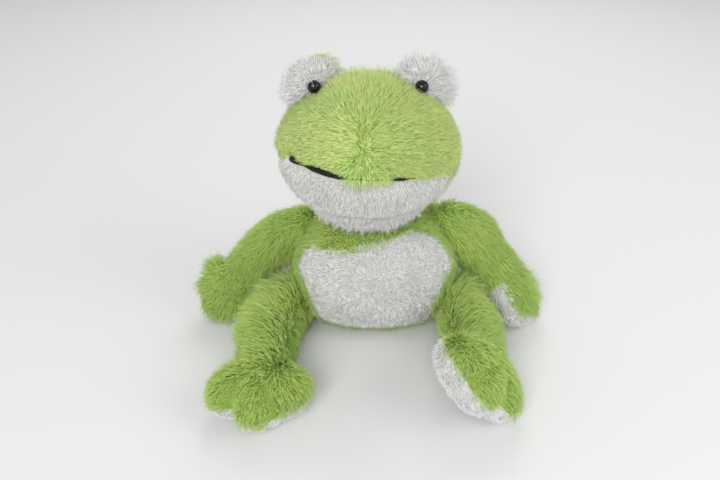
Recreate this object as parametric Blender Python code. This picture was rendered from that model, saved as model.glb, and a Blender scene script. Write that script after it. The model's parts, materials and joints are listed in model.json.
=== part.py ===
"""A sitting plush frog: plush skins over stuffing, sewn together at the neck, shoulders and hips.

Metres, +Z up. The toy looks along -Y and its own left side is +X. The origin is on the flat under
its seat. Skins are hollow and open where they are sewn on; each holds its own core of stuffing."""

import math
from dataclasses import dataclass

import bmesh
import bpy
from mathutils import Matrix, Vector

# Cloth, stuffing and fit
PLUSH = 0.007  # long plush: backing and the dense part of the pile
SHORT_PLUSH = 0.004  # the short white plush of the belly and the eyes
FIT_GAP = 0.0003  # between pieces that touch
OVERRUN = 0.030  # how far a cutter runs past what it cuts
FLOOR_CUT = 0.0005  # how deep the forms that rest are cut flat
PANEL_SETBACK = 0.0005  # a white panel lies this much under the green one
PANEL_RISE = 0.005  # how far the white under a hand or foot rises past its middle

# Torso
TORSO_HALF_WIDTH = 0.080
TORSO_FRONT = 0.070
TORSO_BACK = 0.060
TORSO_UP = 0.064
TORSO_DOWN = 0.0505
TORSO_SET_FORWARD = 0.008
TORSO_POWER = 2.6
TORSO_TOP = TORSO_DOWN - FLOOR_CUT + TORSO_UP
BELLY_HALF_WIDTH = 0.069
BELLY_HALF_HEIGHT = 0.046
BELLY_HEIGHT = 0.054
BELLY_PROUD = 0.003
BELLY_OUTLINE_SHARES = (
    (-0.78, 0.93), (-0.45, 0.84), (0, 0.95), (0.30, 1.10), (0.62, 1.08), (0.88, 0.84), (1.03, 0.45),
    (1.04, 0.05), (0.96, -0.38), (0.76, -0.74), (0.46, -0.92), (0, -0.96), (-0.46, -0.92),
    (-0.78, -0.70), (-0.98, -0.34), (-1.05, 0.10), (-0.98, 0.58),
)
POUCH_HALF_WIDTH = 0.040
POUCH_HALF_DEPTH = 0.034
POUCH_HALF_HEIGHT = 0.017
POUCH_POWER = 2.3

# Neck
NECK_RADIUS = 0.030
NECK_HALF_HEIGHT = 0.016
NECK_RISE = 0.0025  # its middle is this much over the torso's top
NECK_SET_FORWARD = 0.008
NECK_GAP = 0.0008  # between its ball and its cups, wide enough for their flats to pass

# Head
HEAD_HALF_WIDTH = 0.081
HEAD_FRONT = 0.072
HEAD_BACK = 0.072
HEAD_UP = 0.062
HEAD_DOWN = 0.069
HEAD_CLEARANCE = 0.0010  # its underside is this much over the torso's top
HEAD_HEIGHT = TORSO_TOP + HEAD_CLEARANCE + HEAD_DOWN
HEAD_SET_FORWARD = 0.032
HEAD_ASIDE = 0.007
HEAD_POWER = 2.0
MOUTH_RISE = 0.003  # over the head's middle
MOUTH_HEIGHT = HEAD_HEIGHT + MOUTH_RISE
MOUTH_SLANT = 0.008
MOUTH_OPEN = 0.003
MOUTH_SHARES = (
    (-1.30, 0.60), (-0.84, 0.75), (-0.50, 0.40), (-0.20, 0.05), (0.20, -0.10), (0.50, -0.35),
    (0.84, -1.10), (1.30, -1.30),
)
JAW_SETBACK = 0.003
LINING_SETBACK = 0.0015
JAW_BACK = 0.034
CHIN_BACK = 0.054

# Eyes
EYE_HALF_WIDTH = 0.0245
EYE_HALF_DEPTH = 0.022
EYE_HALF_HEIGHT = 0.0235
EYE_ACROSS_SHARE = 0.617  # from the head's middle, as a share of its half width
EYE_PROUD = 0.0088  # the middle of each mound is this much over the head's surface
EYE_BEHIND_SHARE = 0.333  # behind the head's middle, as a share of its back
EYE_SEAM_BACK = 0.004
BEAD_RADIUS = 0.006
BEAD_DOME = 0.0050
BEAD_RIM = 0.0012
BEAD_INWARD_DEG = 8
BEAD_UP_DEG = 13
STEM_RADIUS = 0.0016
STEM_LENGTH = 0.013
WASHER_RADIUS = 0.006
WASHER_THICK = 0.0014
STEM_CLEARANCE = 0.0002

# Seams that carry the limbs: which way each faces, how deep it flattens the torso, and its height
SHOULDER_UP_DEG = 26
SHOULDER_FORWARD_DEG = 3
SHOULDER_FLAT = 0.0035
SHOULDER_HEIGHT = 0.095
HIP_FORWARD_DEG = 31
HIP_DOWN_DEG = 10
HIP_FLAT = 0.0040
HIP_HEIGHT = 0.032

# Arms: reach is from the shoulder's seam to the fingertips
ARM_HALF_WIDTH = 0.017
ARM_HALF_THICK = 0.017
HAND_RADIUS = 0.029
HAND_CLEARANCE = 0.0010
ARM_RIGHT_OUT = 0.102
ARM_RIGHT_FORWARD = 0.023
ARM_RIGHT_DROP = 0.084
ARM_LEFT_OUT = 0.088
ARM_LEFT_FORWARD = 0.030
ARM_LEFT_DROP = 0.088
ARM_RIGHT_ROLL_DEG = 0
ARM_LEFT_ROLL_DEG = 48
ARM_FACES_FORWARD_SHARE = 0.80
# along the reach, outer and inner width, thickness, and how far the middle bows outward
ARM_RIGHT_STRIP_SHARES = (
    (-0.17, 0.66, 0.66, 0.66, 0.36), (-0.11, 1.04, 1.00, 0.98, 0.44), (0.04, 1.36, 1.16, 1.20, 0.72),
    (0.22, 1.34, 1.08, 1.16, 1.02), (0.42, 1.20, 1.00, 1.05, 1.05), (0.58, 1.02, 1.04, 0.98, 0.92),
)
ARM_LEFT_STRIP_SHARES = (
    (-0.17, 0.76, 0.66, 0.70, 0.40), (-0.11, 1.26, 1.00, 1.02, 0.50), (0.04, 1.74, 1.16, 1.22, 0.80),
    (0.22, 1.70, 1.12, 1.18, 1.08), (0.42, 1.34, 1.06, 1.05, 1.02), (0.58, 0.90, 1.08, 0.98, 0.84),
)
HAND_AT_SHARES = (0.745, 0.62)
HAND_THICK_SHARE = 0.96
HAND_RIGHT_FAN_SHARES = (
    (142, 0.84), (128, 1.14), (112, 1.34), (92, 1.22), (75, 0.94), (60, 0.98), (48, 1.04), (30, 0.86),
    (12, 1.00), (-6, 1.10), (-25, 1.06), (-50, 0.98), (-75, 0.92), (-100, 0.88), (-125, 0.86),
)
HAND_LEFT_FAN_SHARES = (
    (142, 0.84), (128, 1.14), (112, 1.34), (92, 1.22), (75, 0.94), (60, 0.98), (48, 1.04), (30, 0.90),
    (12, 1.00), (-6, 1.10), (-25, 1.10), (-50, 1.10), (-75, 1.14), (-100, 1.12), (-125, 1.00),
)
PALM_FROM_SHARE = 0.56

# Legs: reach is from the hip's seam to the toe tips
LEG_HALF_WIDTH = 0.026
LEG_HALF_THICK = 0.025
FOOT_RADIUS = 0.043
LEG_ROOT_OUT = 0.029
LEG_ROOT_BACK = 0.019
LEG_RIGHT_OUT = 0.006
LEG_RIGHT_FORWARD = 0.191
LEG_LEFT_IN = 0.012
LEG_LEFT_FORWARD = 0.188
LEG_LEFT_RISE = 0.015
LEG_RIGHT_ROLL_DEG = 0
LEG_LEFT_ROLL_DEG = 43
LIMB_FULLNESS = 0.85  # how round a limb's cross section is: 1 is round, less is boxier
TWIST_FROM_SHARE = 0.05  # where along its reach a limb starts to roll over, and where it is done
TWIST_TO_SHARE = 0.58
LEG_RIGHT_STRIP_SHARES = (
    (-0.10, 0.42, 0.50, 0.50, -0.56), (-0.055, 0.70, 0.74, 0.72, -0.50), (0.03, 0.90, 0.88, 0.82, -0.38),
    (0.16, 0.96, 0.96, 0.86, -0.16), (0.30, 1.02, 1.00, 0.90, 0), (0.46, 0.98, 0.96, 0.90, 0),
    (0.58, 0.86, 0.90, 0.89, 0),
)
LEG_LEFT_STRIP_SHARES = (
    (-0.10, 0.42, 0.50, 0.50, -0.56), (-0.055, 0.58, 0.74, 0.72, -0.50), (0.03, 0.50, 0.88, 0.82, -0.38),
    (0.16, 0.40, 0.96, 0.86, -0.16), (0.30, 0.64, 1.00, 0.90, 0), (0.46, 0.90, 0.96, 0.90, 0),
    (0.58, 0.86, 0.90, 0.89, 0),
)
FOOT_AT_SHARES = (0.75, 0)
FOOT_THICK_SHARE = 0.92
FOOT_FAN_SHARES = (
    (128, 0.74), (110, 0.86), (92, 0.98), (72, 1.08), (56, 1.06), (45, 0.94), (35, 0.72), (24, 0.86),
    (12, 1.00), (-2, 1.04), (-16, 1.03), (-30, 0.96), (-42, 0.80), (-54, 0.92), (-70, 1.00),
    (-88, 1.03), (-104, 1.00), (-122, 0.78),
)
SOLE_FROM_SHARE = 0.60

# How finely each form is drawn
TORSO_CUTS = 8
HEAD_CUTS = 9
EYE_CUTS = 5
CORE_CUTS = 4
SMALL_CORE_CUTS = 3
LIMB_RINGS = 4
CORE_RINGS = 2
ROUND_SIDES = 18
BALL_STEPS = 6

# Colours and roughness
GREEN = ((0.42, 0.62, 0.07), 0.9)
WHITE = ((0.80, 0.80, 0.77), 0.9)
FILL = ((0.86, 0.85, 0.82), 1.0)
CALICO = ((0.72, 0.66, 0.54), 0.9)
BLACK_CLOTH = ((0.012, 0.012, 0.013), 0.7)
BLACK_PLASTIC = ((0.008, 0.008, 0.009), 0.12)
CLEAR_PLASTIC = ((0.75, 0.75, 0.73), 0.4)

SIDES = {"right": -1, "left": 1}
UP = Vector((0, 0, 1))
SHARP_DEG = 50


def clear_scene():
    """Removes whatever the file opened with."""
    for obj in list(bpy.data.objects):
        bpy.data.objects.remove(obj)


def material(name, look):
    """A plain material from a colour and a roughness."""
    colour, roughness = look
    made = bpy.data.materials.new(name)
    made.use_nodes = True
    shader = made.node_tree.nodes["Principled BSDF"]
    shader.inputs["Base Color"].default_value = (*colour, 1)
    shader.inputs["Roughness"].default_value = roughness
    shader.inputs["Metallic"].default_value = 0
    made.diffuse_color = (*colour, 1)
    return made


def add(name, mesh, look=None, origin=None):
    """Puts a mesh into the scene, as a piece with a look or as a hidden guide without one.

    An origin is a point of the joint that the piece moves on."""
    obj = bpy.data.objects.new(name, mesh)
    if origin is not None:
        mesh.transform(Matrix.Translation(-origin))
        obj.location = origin
    bpy.context.scene.collection.objects.link(obj)
    if look is None:
        obj.hide_render = True
        obj.display_type = "WIRE"
        return obj
    mesh.materials.append(material(name, look))
    mesh.shade_smooth()
    mesh.set_sharp_from_angle(angle=math.radians(SHARP_DEG))
    return obj


def finish(shape, name):
    """Makes a mesh of a bmesh, of flat triangles that point out."""
    bmesh.ops.triangulate(shape, faces=shape.faces)
    bmesh.ops.recalc_face_normals(shape, faces=shape.faces)
    if shape.calc_volume(signed=True) < 0:
        bmesh.ops.reverse_faces(shape, faces=shape.faces)
    mesh = bpy.data.meshes.new(name)
    shape.to_mesh(mesh)
    shape.free()
    return mesh


def cut(piece, *cutters):
    """Takes each cutter's solid out of a piece."""
    for cutter in cutters:
        change = piece.modifiers.new("less_" + cutter.name, "BOOLEAN")
        change.operation = "DIFFERENCE"
        change.object = cutter


def keep(piece, cutter):
    """Keeps only what of a piece lies inside a cutter."""
    change = piece.modifiers.new("within_" + cutter.name, "BOOLEAN")
    change.operation = "INTERSECT"
    change.object = cutter


def smooth(rows, at):
    """Reads a table at a value of its first column, as one smooth curve through its rows."""
    last = len(rows) - 1
    if at <= rows[0][0]:
        return rows[0][1:]
    if at >= rows[last][0]:
        return rows[last][1:]
    span = max(i for i in range(last) if rows[i][0] <= at)
    before, start, end, after = (rows[min(max(i, 0), last)] for i in range(span - 1, span + 3))
    t = (at - start[0]) / (end[0] - start[0])
    values = []
    for p0, p1, p2, p3 in zip(before[1:], start[1:], end[1:], after[1:]):
        values.append(
            p1 + t * (p2 - p0 + t * (2 * p0 - 5 * p1 + 4 * p2 - p3 + t * (3 * (p1 - p2) + p3 - p0))) / 2
        )
    return values


def round_outline(points, steps):
    """A closed smooth curve through points, with some steps between one and the next."""
    count = len(points)
    outline = []
    for i in range(count):
        p0, p1, p2, p3 = (Vector(points[(i + k) % count]) for k in (-1, 0, 1, 2))
        for step in range(steps):
            t = step / steps
            outline.append(
                p1 + t * (p2 - p0 + t * (2 * p0 - 5 * p1 + 4 * p2 - p3 + t * (3 * (p1 - p2) + p3 - p0))) / 2
            )
    return outline


@dataclass(frozen=True)
class Ball:
    """A stuffed ball with a half size of its own each way, squarer with a higher power."""

    centre: tuple
    half_width: float
    front: float
    back: float
    up: float
    down: float
    power: float = 2

    def point(self, way, inset=0):
        """Where a direction from the centre meets the surface, or a surface lying deeper."""
        halves = (
            self.half_width,
            self.front if way.y < 0 else self.back,
            self.up if way.z > 0 else self.down,
        )
        total = sum(abs(w / (h - inset)) ** self.power for w, h in zip(way, halves))
        return Vector(self.centre) + way * total ** (-1 / self.power)

    def farthest(self, way):
        """The surface's farthest point in a direction."""
        halves = (self.half_width, self.front if way.y < 0 else self.back, self.up if way.z > 0 else self.down)
        pulls = [(h * abs(w)) ** (1 / (self.power - 1)) for w, h in zip(way, halves)]
        total = sum(pull**self.power for pull in pulls) ** (1 / self.power)
        offset = [math.copysign(h * pull / total, w) for w, h, pull in zip(way, halves, pulls)]
        return Vector(self.centre) + Vector(offset)

    def top_at(self, across, behind):
        """How high the surface is at a distance across and behind its centre."""
        depth = self.back if behind > 0 else self.front
        used = abs(across / self.half_width) ** self.power + abs(behind / depth) ** self.power
        return self.centre[2] + self.up * (1 - used) ** (1 / self.power)

    def mesh(self, name, cuts, inset=0):
        """The closed surface, drawn on a cube whose sides are cut into a grid."""
        shape = bmesh.new()
        bmesh.ops.create_cube(shape, size=2)
        bmesh.ops.subdivide_edges(shape, edges=shape.edges, cuts=cuts, use_grid_fill=True)
        for vert in shape.verts:
            way = Vector([math.tan(c * math.pi / 4) for c in vert.co]).normalized()
            vert.co = self.point(way, inset)
        return finish(shape, name)


def turned(name, profile, place, look=None, closed=False, origin=None):
    """Turns a profile of (radius, height) points about its height.

    Its ends lie on the axis, or a closed one goes round into a ring."""
    shape = bmesh.new()
    rings = []
    for radius, height in profile:
        if radius == 0:
            rings.append([shape.verts.new(place @ Vector((0, 0, height)))])
            continue
        ring = []
        for side in range(ROUND_SIDES):
            angle = 2 * math.pi * side / ROUND_SIDES
            spot = Vector((radius * math.cos(angle), radius * math.sin(angle), height))
            ring.append(shape.verts.new(place @ spot))
        rings.append(ring)
    following = rings[1:] + rings[:1] if closed else rings[1:]
    for below, above in zip(rings, following):
        for side in range(ROUND_SIDES):
            after = (side + 1) % ROUND_SIDES
            corners = [below[side % len(below)], below[after % len(below)]]
            corners += [above[after % len(above)], above[side % len(above)]]
            shape.faces.new(list(dict.fromkeys(corners)))
    return add(name, finish(shape, name), look, origin)


def arc(radius, start_deg, end_deg, steps):
    """Points of an arc about the origin, as (radius, height), from one latitude to another."""
    points = []
    for step in range(steps + 1):
        latitude = start_deg + (end_deg - start_deg) * step / steps
        angle = math.radians(latitude)
        points.append((0 if abs(latitude) == 90 else radius * math.cos(angle), radius * math.sin(angle)))
    return points


def prism(name, outline, back, front):
    """A hidden solid between two surfaces across Y, each given as a function of a point (x, z)."""
    shape = bmesh.new()
    rows = []
    for depth in (back, front):
        rows.append([shape.verts.new((p[0], depth(p), p[1])) for p in outline])
    shape.faces.new(rows[0])
    shape.faces.new(rows[1])
    for i, corner in enumerate(rows[0]):
        after = (i + 1) % len(outline)
        shape.faces.new((corner, rows[0][after], rows[1][after], rows[1][i]))
    return add(name, finish(shape, name))


def half_space(name, point, normal):
    """A hidden box that holds all that lies ahead of a plane."""
    reach = HEAD_HEIGHT + HEAD_UP + OVERRUN
    shape = bmesh.new()
    bmesh.ops.create_cube(shape, size=2 * reach)
    turn = normal.to_track_quat("Z", "Y").to_matrix().to_4x4()
    shape.transform(Matrix.Translation(point) @ turn @ Matrix.Translation((0, 0, reach)))
    return add(name, finish(shape, name))


TORSO = Ball(
    centre=(0, -TORSO_SET_FORWARD, TORSO_DOWN - FLOOR_CUT),
    half_width=TORSO_HALF_WIDTH,
    front=TORSO_FRONT,
    back=TORSO_BACK,
    up=TORSO_UP,
    down=TORSO_DOWN,
    power=TORSO_POWER,
)
HEAD = Ball(
    centre=(-HEAD_ASIDE, -HEAD_SET_FORWARD, HEAD_HEIGHT),
    half_width=HEAD_HALF_WIDTH,
    front=HEAD_FRONT,
    back=HEAD_BACK,
    up=HEAD_UP,
    down=HEAD_DOWN,
    power=HEAD_POWER,
)
NECK = Vector((-HEAD_ASIDE / 2, -NECK_SET_FORWARD, TORSO_TOP + NECK_RISE))


@dataclass(frozen=True)
class Seam:
    """A flat on the torso that a limb is sewn to and turns on."""

    point: Vector
    normal: Vector

    def behind(self, name, gap=0):
        """A hidden solid of all that lies on the torso's side of the seam."""
        return half_space(name, self.point + self.normal * gap, -self.normal)

    def beyond(self, name):
        """A hidden solid of all that lies on the limb's side of the seam."""
        return half_space(name, self.point, self.normal)


def seam_at(normal, flat, height):
    """The seam that flattens the torso by a depth, at a height and facing a way."""
    point = TORSO.farthest(normal) - normal * flat
    down_slope = (-UP + normal * normal.z).normalized()
    return Seam(point + down_slope * (point.z - height) / -down_slope.z, normal)


def shoulder_seam(side):
    """The seam of one arm."""
    up, forward = math.radians(SHOULDER_UP_DEG), math.radians(SHOULDER_FORWARD_DEG)
    flat_way = Vector((side * math.cos(forward), -math.sin(forward), 0))
    return seam_at(flat_way * math.cos(up) + UP * math.sin(up), SHOULDER_FLAT, SHOULDER_HEIGHT)


def hip_seam(side):
    """The seam of one leg."""
    down, forward = math.radians(HIP_DOWN_DEG), math.radians(HIP_FORWARD_DEG)
    flat_way = Vector((side * math.cos(forward), -math.sin(forward), 0))
    return seam_at(flat_way * math.cos(down) - UP * math.sin(down), HIP_FLAT, HIP_HEIGHT)


@dataclass(frozen=True)
class Limb:
    """A stuffed strip that ends in a fan of fingers or toes, flat as its cloth was cut."""

    half_width: float
    half_thick: float
    fan_radius: float
    strip_shares: tuple
    fan_at_shares: tuple
    fan_thick_share: float
    fan_shares: tuple
    flat_under: bool
    root: Vector
    reach: Vector
    facing: Vector
    roll_deg: float
    side: int
    lowest: float

    def ribs(self, inset):
        """Each rib runs from the limb's middle line out to its edge, round the whole limb."""
        length = self.reach.length
        outer, inner = [], []
        for along, out, back, thick, bow in self.strip_shares:
            middle = Vector((along * length, bow * self.half_width, 0))
            if along == self.strip_shares[0][0]:
                middle.x += inset
            height = thick * self.half_thick - inset
            outer.append((middle, middle + Vector((0, out * self.half_width - inset, 0)), height))
            inner.append((middle, middle - Vector((0, back * self.half_width - inset, 0)), height))
        middle = Vector((self.fan_at_shares[0] * length, self.fan_at_shares[1] * self.half_width, 0))
        fan = []
        for angle, share in self.fan_shares:
            turn = math.radians(angle)
            way = Vector((math.cos(turn), math.sin(turn), 0))
            edge = middle + way * (share * self.fan_radius - inset)
            fan.append((middle, edge, self.fan_thick_share * self.half_thick - inset))
        return outer + fan + inner[::-1]

    def solid(self, name, rings, inset=0, place=None):
        """The closed limb, lying along +X in its own space or put in its place."""
        shape = bmesh.new()
        sheets = ([], [])
        for middle, edge, height in self.ribs(inset):
            lift = height + inset - self.half_thick if self.flat_under else 0
            for sheet, sign in zip(sheets, (1, -1)):
                row = []
                for ring in range(rings + 1):
                    turn = ring / rings * math.pi / 2
                    spot = middle.lerp(edge, math.sin(turn))
                    spot.z = lift + sign * height * math.cos(turn) ** LIMB_FULLNESS
                    core = Vector((0, middle.y, 0))
                    row.append(shape.verts.new(core + self.twist(spot.x) @ (spot - core)))
                sheet.append(row)
        for sheet in sheets:
            for row, after in zip(sheet, sheet[1:]):
                for ring in range(rings):
                    shape.faces.new((row[ring], row[ring + 1], after[ring + 1], after[ring]))
        nearest = min(self.half_thick, self.half_width) / 1000
        bmesh.ops.remove_doubles(shape, verts=shape.verts, dist=nearest)
        bmesh.ops.dissolve_degenerate(shape, edges=shape.edges, dist=nearest)
        open_edges = [edge for edge in shape.edges if edge.is_boundary]
        bmesh.ops.holes_fill(shape, edges=open_edges)
        if place is not None:
            shape.transform(place)
        return finish(shape, name)

    def twist(self, along):
        """How far the limb is rolled over at a distance along it."""
        share = (along / self.reach.length - TWIST_FROM_SHARE) / (TWIST_TO_SHARE - TWIST_FROM_SHARE)
        share = min(max(share, 0), 1)
        return Matrix.Rotation(-math.radians(self.roll_deg) * share * share * (3 - 2 * share), 4, "X")

    def frame(self):
        """The limb's frame: X along its reach, Y to its outer side, Z out of its green back."""
        along = self.reach.normalized()
        out_of_back = (self.facing - along * self.facing.dot(along)).normalized()
        outward = out_of_back.cross(along)
        if outward.x * self.side < 0:
            outward = -outward
        axes = Matrix((along, outward, out_of_back)).transposed().to_4x4()
        return Matrix.Translation(self.root) @ axes

    def place(self):
        """The limb's frame, raised or lowered so that its lowest point is where it rests."""
        frame = self.frame()
        trial = self.solid("guide", LIMB_RINGS, place=frame)
        low = min(vert.co.z for vert in trial.vertices)
        bpy.data.meshes.remove(trial)
        return Matrix.Translation((0, 0, self.lowest - low)) @ frame


def arm(side_name):
    """One arm, hanging out and down from its shoulder."""
    side = SIDES[side_name]
    if side > 0:
        reach = Vector((ARM_LEFT_OUT, -ARM_LEFT_FORWARD, -ARM_LEFT_DROP))
    else:
        reach = Vector((-ARM_RIGHT_OUT, -ARM_RIGHT_FORWARD, -ARM_RIGHT_DROP))
    facing = Vector((0, -ARM_FACES_FORWARD_SHARE, math.sqrt(1 - ARM_FACES_FORWARD_SHARE**2)))
    return Limb(
        half_width=ARM_HALF_WIDTH,
        half_thick=ARM_HALF_THICK,
        fan_radius=HAND_RADIUS,
        strip_shares=ARM_LEFT_STRIP_SHARES if side > 0 else ARM_RIGHT_STRIP_SHARES,
        fan_at_shares=HAND_AT_SHARES,
        fan_thick_share=HAND_THICK_SHARE,
        fan_shares=HAND_LEFT_FAN_SHARES if side > 0 else HAND_RIGHT_FAN_SHARES,
        flat_under=False,
        root=shoulder_seam(side).point,
        reach=reach,
        facing=facing,
        roll_deg=ARM_LEFT_ROLL_DEG if side > 0 else ARM_RIGHT_ROLL_DEG,
        side=side,
        lowest=HAND_CLEARANCE,
    )


def leg(side_name):
    """One leg, lying forward on the floor from its hip."""
    side = SIDES[side_name]
    if side > 0:
        reach = Vector((-LEG_LEFT_IN, -LEG_LEFT_FORWARD, LEG_LEFT_RISE))
    else:
        reach = Vector((-LEG_RIGHT_OUT, -LEG_RIGHT_FORWARD, 0))
    return Limb(
        half_width=LEG_HALF_WIDTH,
        half_thick=LEG_HALF_THICK,
        fan_radius=FOOT_RADIUS,
        strip_shares=LEG_LEFT_STRIP_SHARES if side > 0 else LEG_RIGHT_STRIP_SHARES,
        fan_at_shares=FOOT_AT_SHARES,
        fan_thick_share=FOOT_THICK_SHARE,
        fan_shares=FOOT_FAN_SHARES,
        flat_under=True,
        root=hip_seam(side).point + Vector((side * LEG_ROOT_OUT, LEG_ROOT_BACK, 0)),
        reach=reach,
        facing=UP,
        roll_deg=LEG_LEFT_ROLL_DEG if side > 0 else LEG_RIGHT_ROLL_DEG,
        side=side,
        lowest=-FLOOR_CUT,
    )


def build_limb(limb, seam, names, panel_from_share, floor):
    """A limb's skin, its stuffing and the white panel under its hand or foot."""
    skin_name, fill_name, panel_name = names
    place = limb.place()
    hollow = add(
        "hollow_of_" + skin_name,
        limb.solid("hollow", CORE_RINGS, inset=PLUSH, place=place),
    )
    behind = seam.behind("behind_" + skin_name, FIT_GAP)
    panel_start = panel_from_share * limb.reach.length
    panel_end = limb.reach.length + limb.fan_radius + OVERRUN
    across = limb.fan_radius * 2 + OVERRUN
    fan_axis = Matrix.Translation((0, limb.fan_at_shares[1] * limb.half_width, 0))
    rolled = place @ fan_axis @ limb.twist(limb.reach.length) @ fan_axis.inverted()
    zones = []
    for gap in (FIT_GAP / 2, -FIT_GAP / 2):
        shape = bmesh.new()
        bmesh.ops.create_cube(shape, size=1)
        shape.transform(Matrix.Diagonal((panel_end - panel_start + 2 * gap, 2 * across, across, 1)))
        lift = (limb.fan_thick_share - 1) * limb.half_thick if limb.flat_under else 0
        middle = Vector(((panel_start + panel_end) / 2, 0, lift + PANEL_RISE + gap - across / 2))
        shape.transform(rolled @ Matrix.Translation(middle))
        zones.append(add(f"zone_{panel_name}_{len(zones)}", finish(shape, "zone")))
    skin = add(skin_name, limb.solid(skin_name, LIMB_RINGS, place=place), GREEN, seam.point)
    cut(skin, zones[0], hollow, behind, floor)
    panel_mesh = limb.solid(panel_name, LIMB_RINGS, inset=PANEL_SETBACK, place=place)
    panel = add(panel_name, panel_mesh, WHITE, seam.point)
    keep(panel, zones[1])
    cut(panel, hollow, floor)
    fill = add(
        fill_name,
        limb.solid(fill_name, CORE_RINGS, inset=PLUSH + FIT_GAP, place=place),
        FILL,
        seam.point,
    )
    cut(fill, behind)


def build_torso(floor):
    """The torso's skin, stuffing, belly panel and the pouch of pellets that weighs its seat."""
    seams = []
    for side_name, side in SIDES.items():
        seams.append(shoulder_seam(side).beyond("past_shoulder_" + side_name))
        seams.append(hip_seam(side).beyond("past_hip_" + side_name))
    neck_cup = turned(
        "neck_cup", arc(NECK_RADIUS + NECK_GAP, -90, 90, 2 * BALL_STEPS), Matrix.Translation(NECK)
    )
    hollow = add("hollow_of_torso", TORSO.mesh("hollow", CORE_CUTS, PLUSH))
    skin = add("torso_skin", TORSO.mesh("torso_skin", TORSO_CUTS), GREEN)
    cut(skin, hollow, neck_cup, *seams, floor)

    base = PLUSH + FIT_GAP
    pouch_centre = (TORSO.centre[0], TORSO.centre[1], base + FIT_GAP + POUCH_HALF_HEIGHT)
    pouch_form = Ball(
        pouch_centre, POUCH_HALF_WIDTH, POUCH_HALF_DEPTH, POUCH_HALF_DEPTH,
        POUCH_HALF_HEIGHT, POUCH_HALF_HEIGHT, POUCH_POWER,
    )
    add("pellet_pouch", pouch_form.mesh("pellet_pouch", CORE_CUTS), CALICO)
    pocket = add("pouch_pocket", pouch_form.mesh("pocket", CORE_CUTS, -FIT_GAP))
    mouth_radius = POUCH_HALF_DEPTH / 2
    deep = -POUCH_HALF_HEIGHT - OVERRUN
    pocket_mouth = turned(
        "pocket_mouth", [(0, deep), (mouth_radius, deep), (mouth_radius, 0), (0, 0)],
        Matrix.Translation(pouch_centre),
    )
    fill = add("torso_stuffing", TORSO.mesh("torso_stuffing", CORE_CUTS, PLUSH + FIT_GAP), FILL)
    cut(fill, neck_cup, pocket, pocket_mouth)

    outline = [
        (x * BELLY_HALF_WIDTH, BELLY_HEIGHT + z * BELLY_HALF_HEIGHT)
        for x, z in round_outline(BELLY_OUTLINE_SHARES, 2)
    ]
    ahead = -(TORSO_FRONT + OVERRUN)
    patch = prism("belly_outline", outline, lambda p: TORSO.centre[1], lambda p: ahead + TORSO.centre[1])
    under = add("under_belly", TORSO.mesh("under_belly", TORSO_CUTS, -FIT_GAP))
    belly = add("belly_panel", TORSO.mesh("belly_panel", TORSO_CUTS, -BELLY_PROUD), WHITE)
    keep(belly, patch)
    cut(belly, under, *seams, neck_cup, floor)


def build_neck():
    """The short neck: a band of plush round a ball of stuffing whose two ends fill the cups."""
    band_inner = NECK_RADIUS - PLUSH
    rim = math.degrees(math.asin(NECK_HALF_HEIGHT / NECK_RADIUS))
    inner_rim = math.degrees(math.asin(NECK_HALF_HEIGHT / band_inner))
    profile = arc(NECK_RADIUS, -rim, rim, BALL_STEPS) + arc(band_inner, inner_rim, -inner_rim, BALL_STEPS)
    place = Matrix.Translation(NECK)
    turned("neck_skin", profile, place, GREEN, closed=True, origin=NECK)

    core = band_inner - FIT_GAP
    cap_height = NECK_HALF_HEIGHT + FIT_GAP
    cap_rim = math.degrees(math.asin(cap_height / NECK_RADIUS))
    core_rim = math.degrees(math.asin(cap_height / core))
    half = arc(NECK_RADIUS, -90, -cap_rim, BALL_STEPS) + arc(core, -core_rim, 0, BALL_STEPS // 2)
    profile = half + [(radius, -height) for radius, height in reversed(half[:-1])]
    turned("neck_stuffing", profile, place, FILL, origin=NECK)


def mouth_line(offset):
    """The mouth's line across the face, moved up or down, as points (x, z)."""
    line = []
    steps = 4 * (len(MOUTH_SHARES) - 1)
    first, last = MOUTH_SHARES[0][0], MOUTH_SHARES[-1][0]
    for step in range(steps + 1):
        across = first + (last - first) * step / steps
        (rise,) = smooth(MOUTH_SHARES, across)
        line.append((HEAD.centre[0] + across * HEAD_HALF_WIDTH, MOUTH_HEIGHT + rise * MOUTH_SLANT + offset))
    return line


def jaw_back(point):
    """How far back the jaw's panel reaches at a height: less under the chin."""
    down = (MOUTH_HEIGHT - point[1]) / (MOUTH_HEIGHT - (HEAD_HEIGHT - HEAD_DOWN))
    return -JAW_BACK - (CHIN_BACK - JAW_BACK) * down


def face_zone(name, top_offset, bottom_offset, growth):
    """A hidden solid of the face between two heights of the mouth's line, or down past the chin."""
    top = mouth_line(top_offset)
    if bottom_offset is None:
        chin = HEAD_HEIGHT - HEAD_DOWN - OVERRUN
        bottom = [(top[-1][0], chin), (top[0][0], chin)]
    else:
        bottom = mouth_line(bottom_offset)[::-1]
    ahead = -(HEAD_SET_FORWARD + HEAD_FRONT + OVERRUN)
    return prism(name, top + bottom, lambda p: jaw_back(p) + growth, lambda p: ahead)


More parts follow.
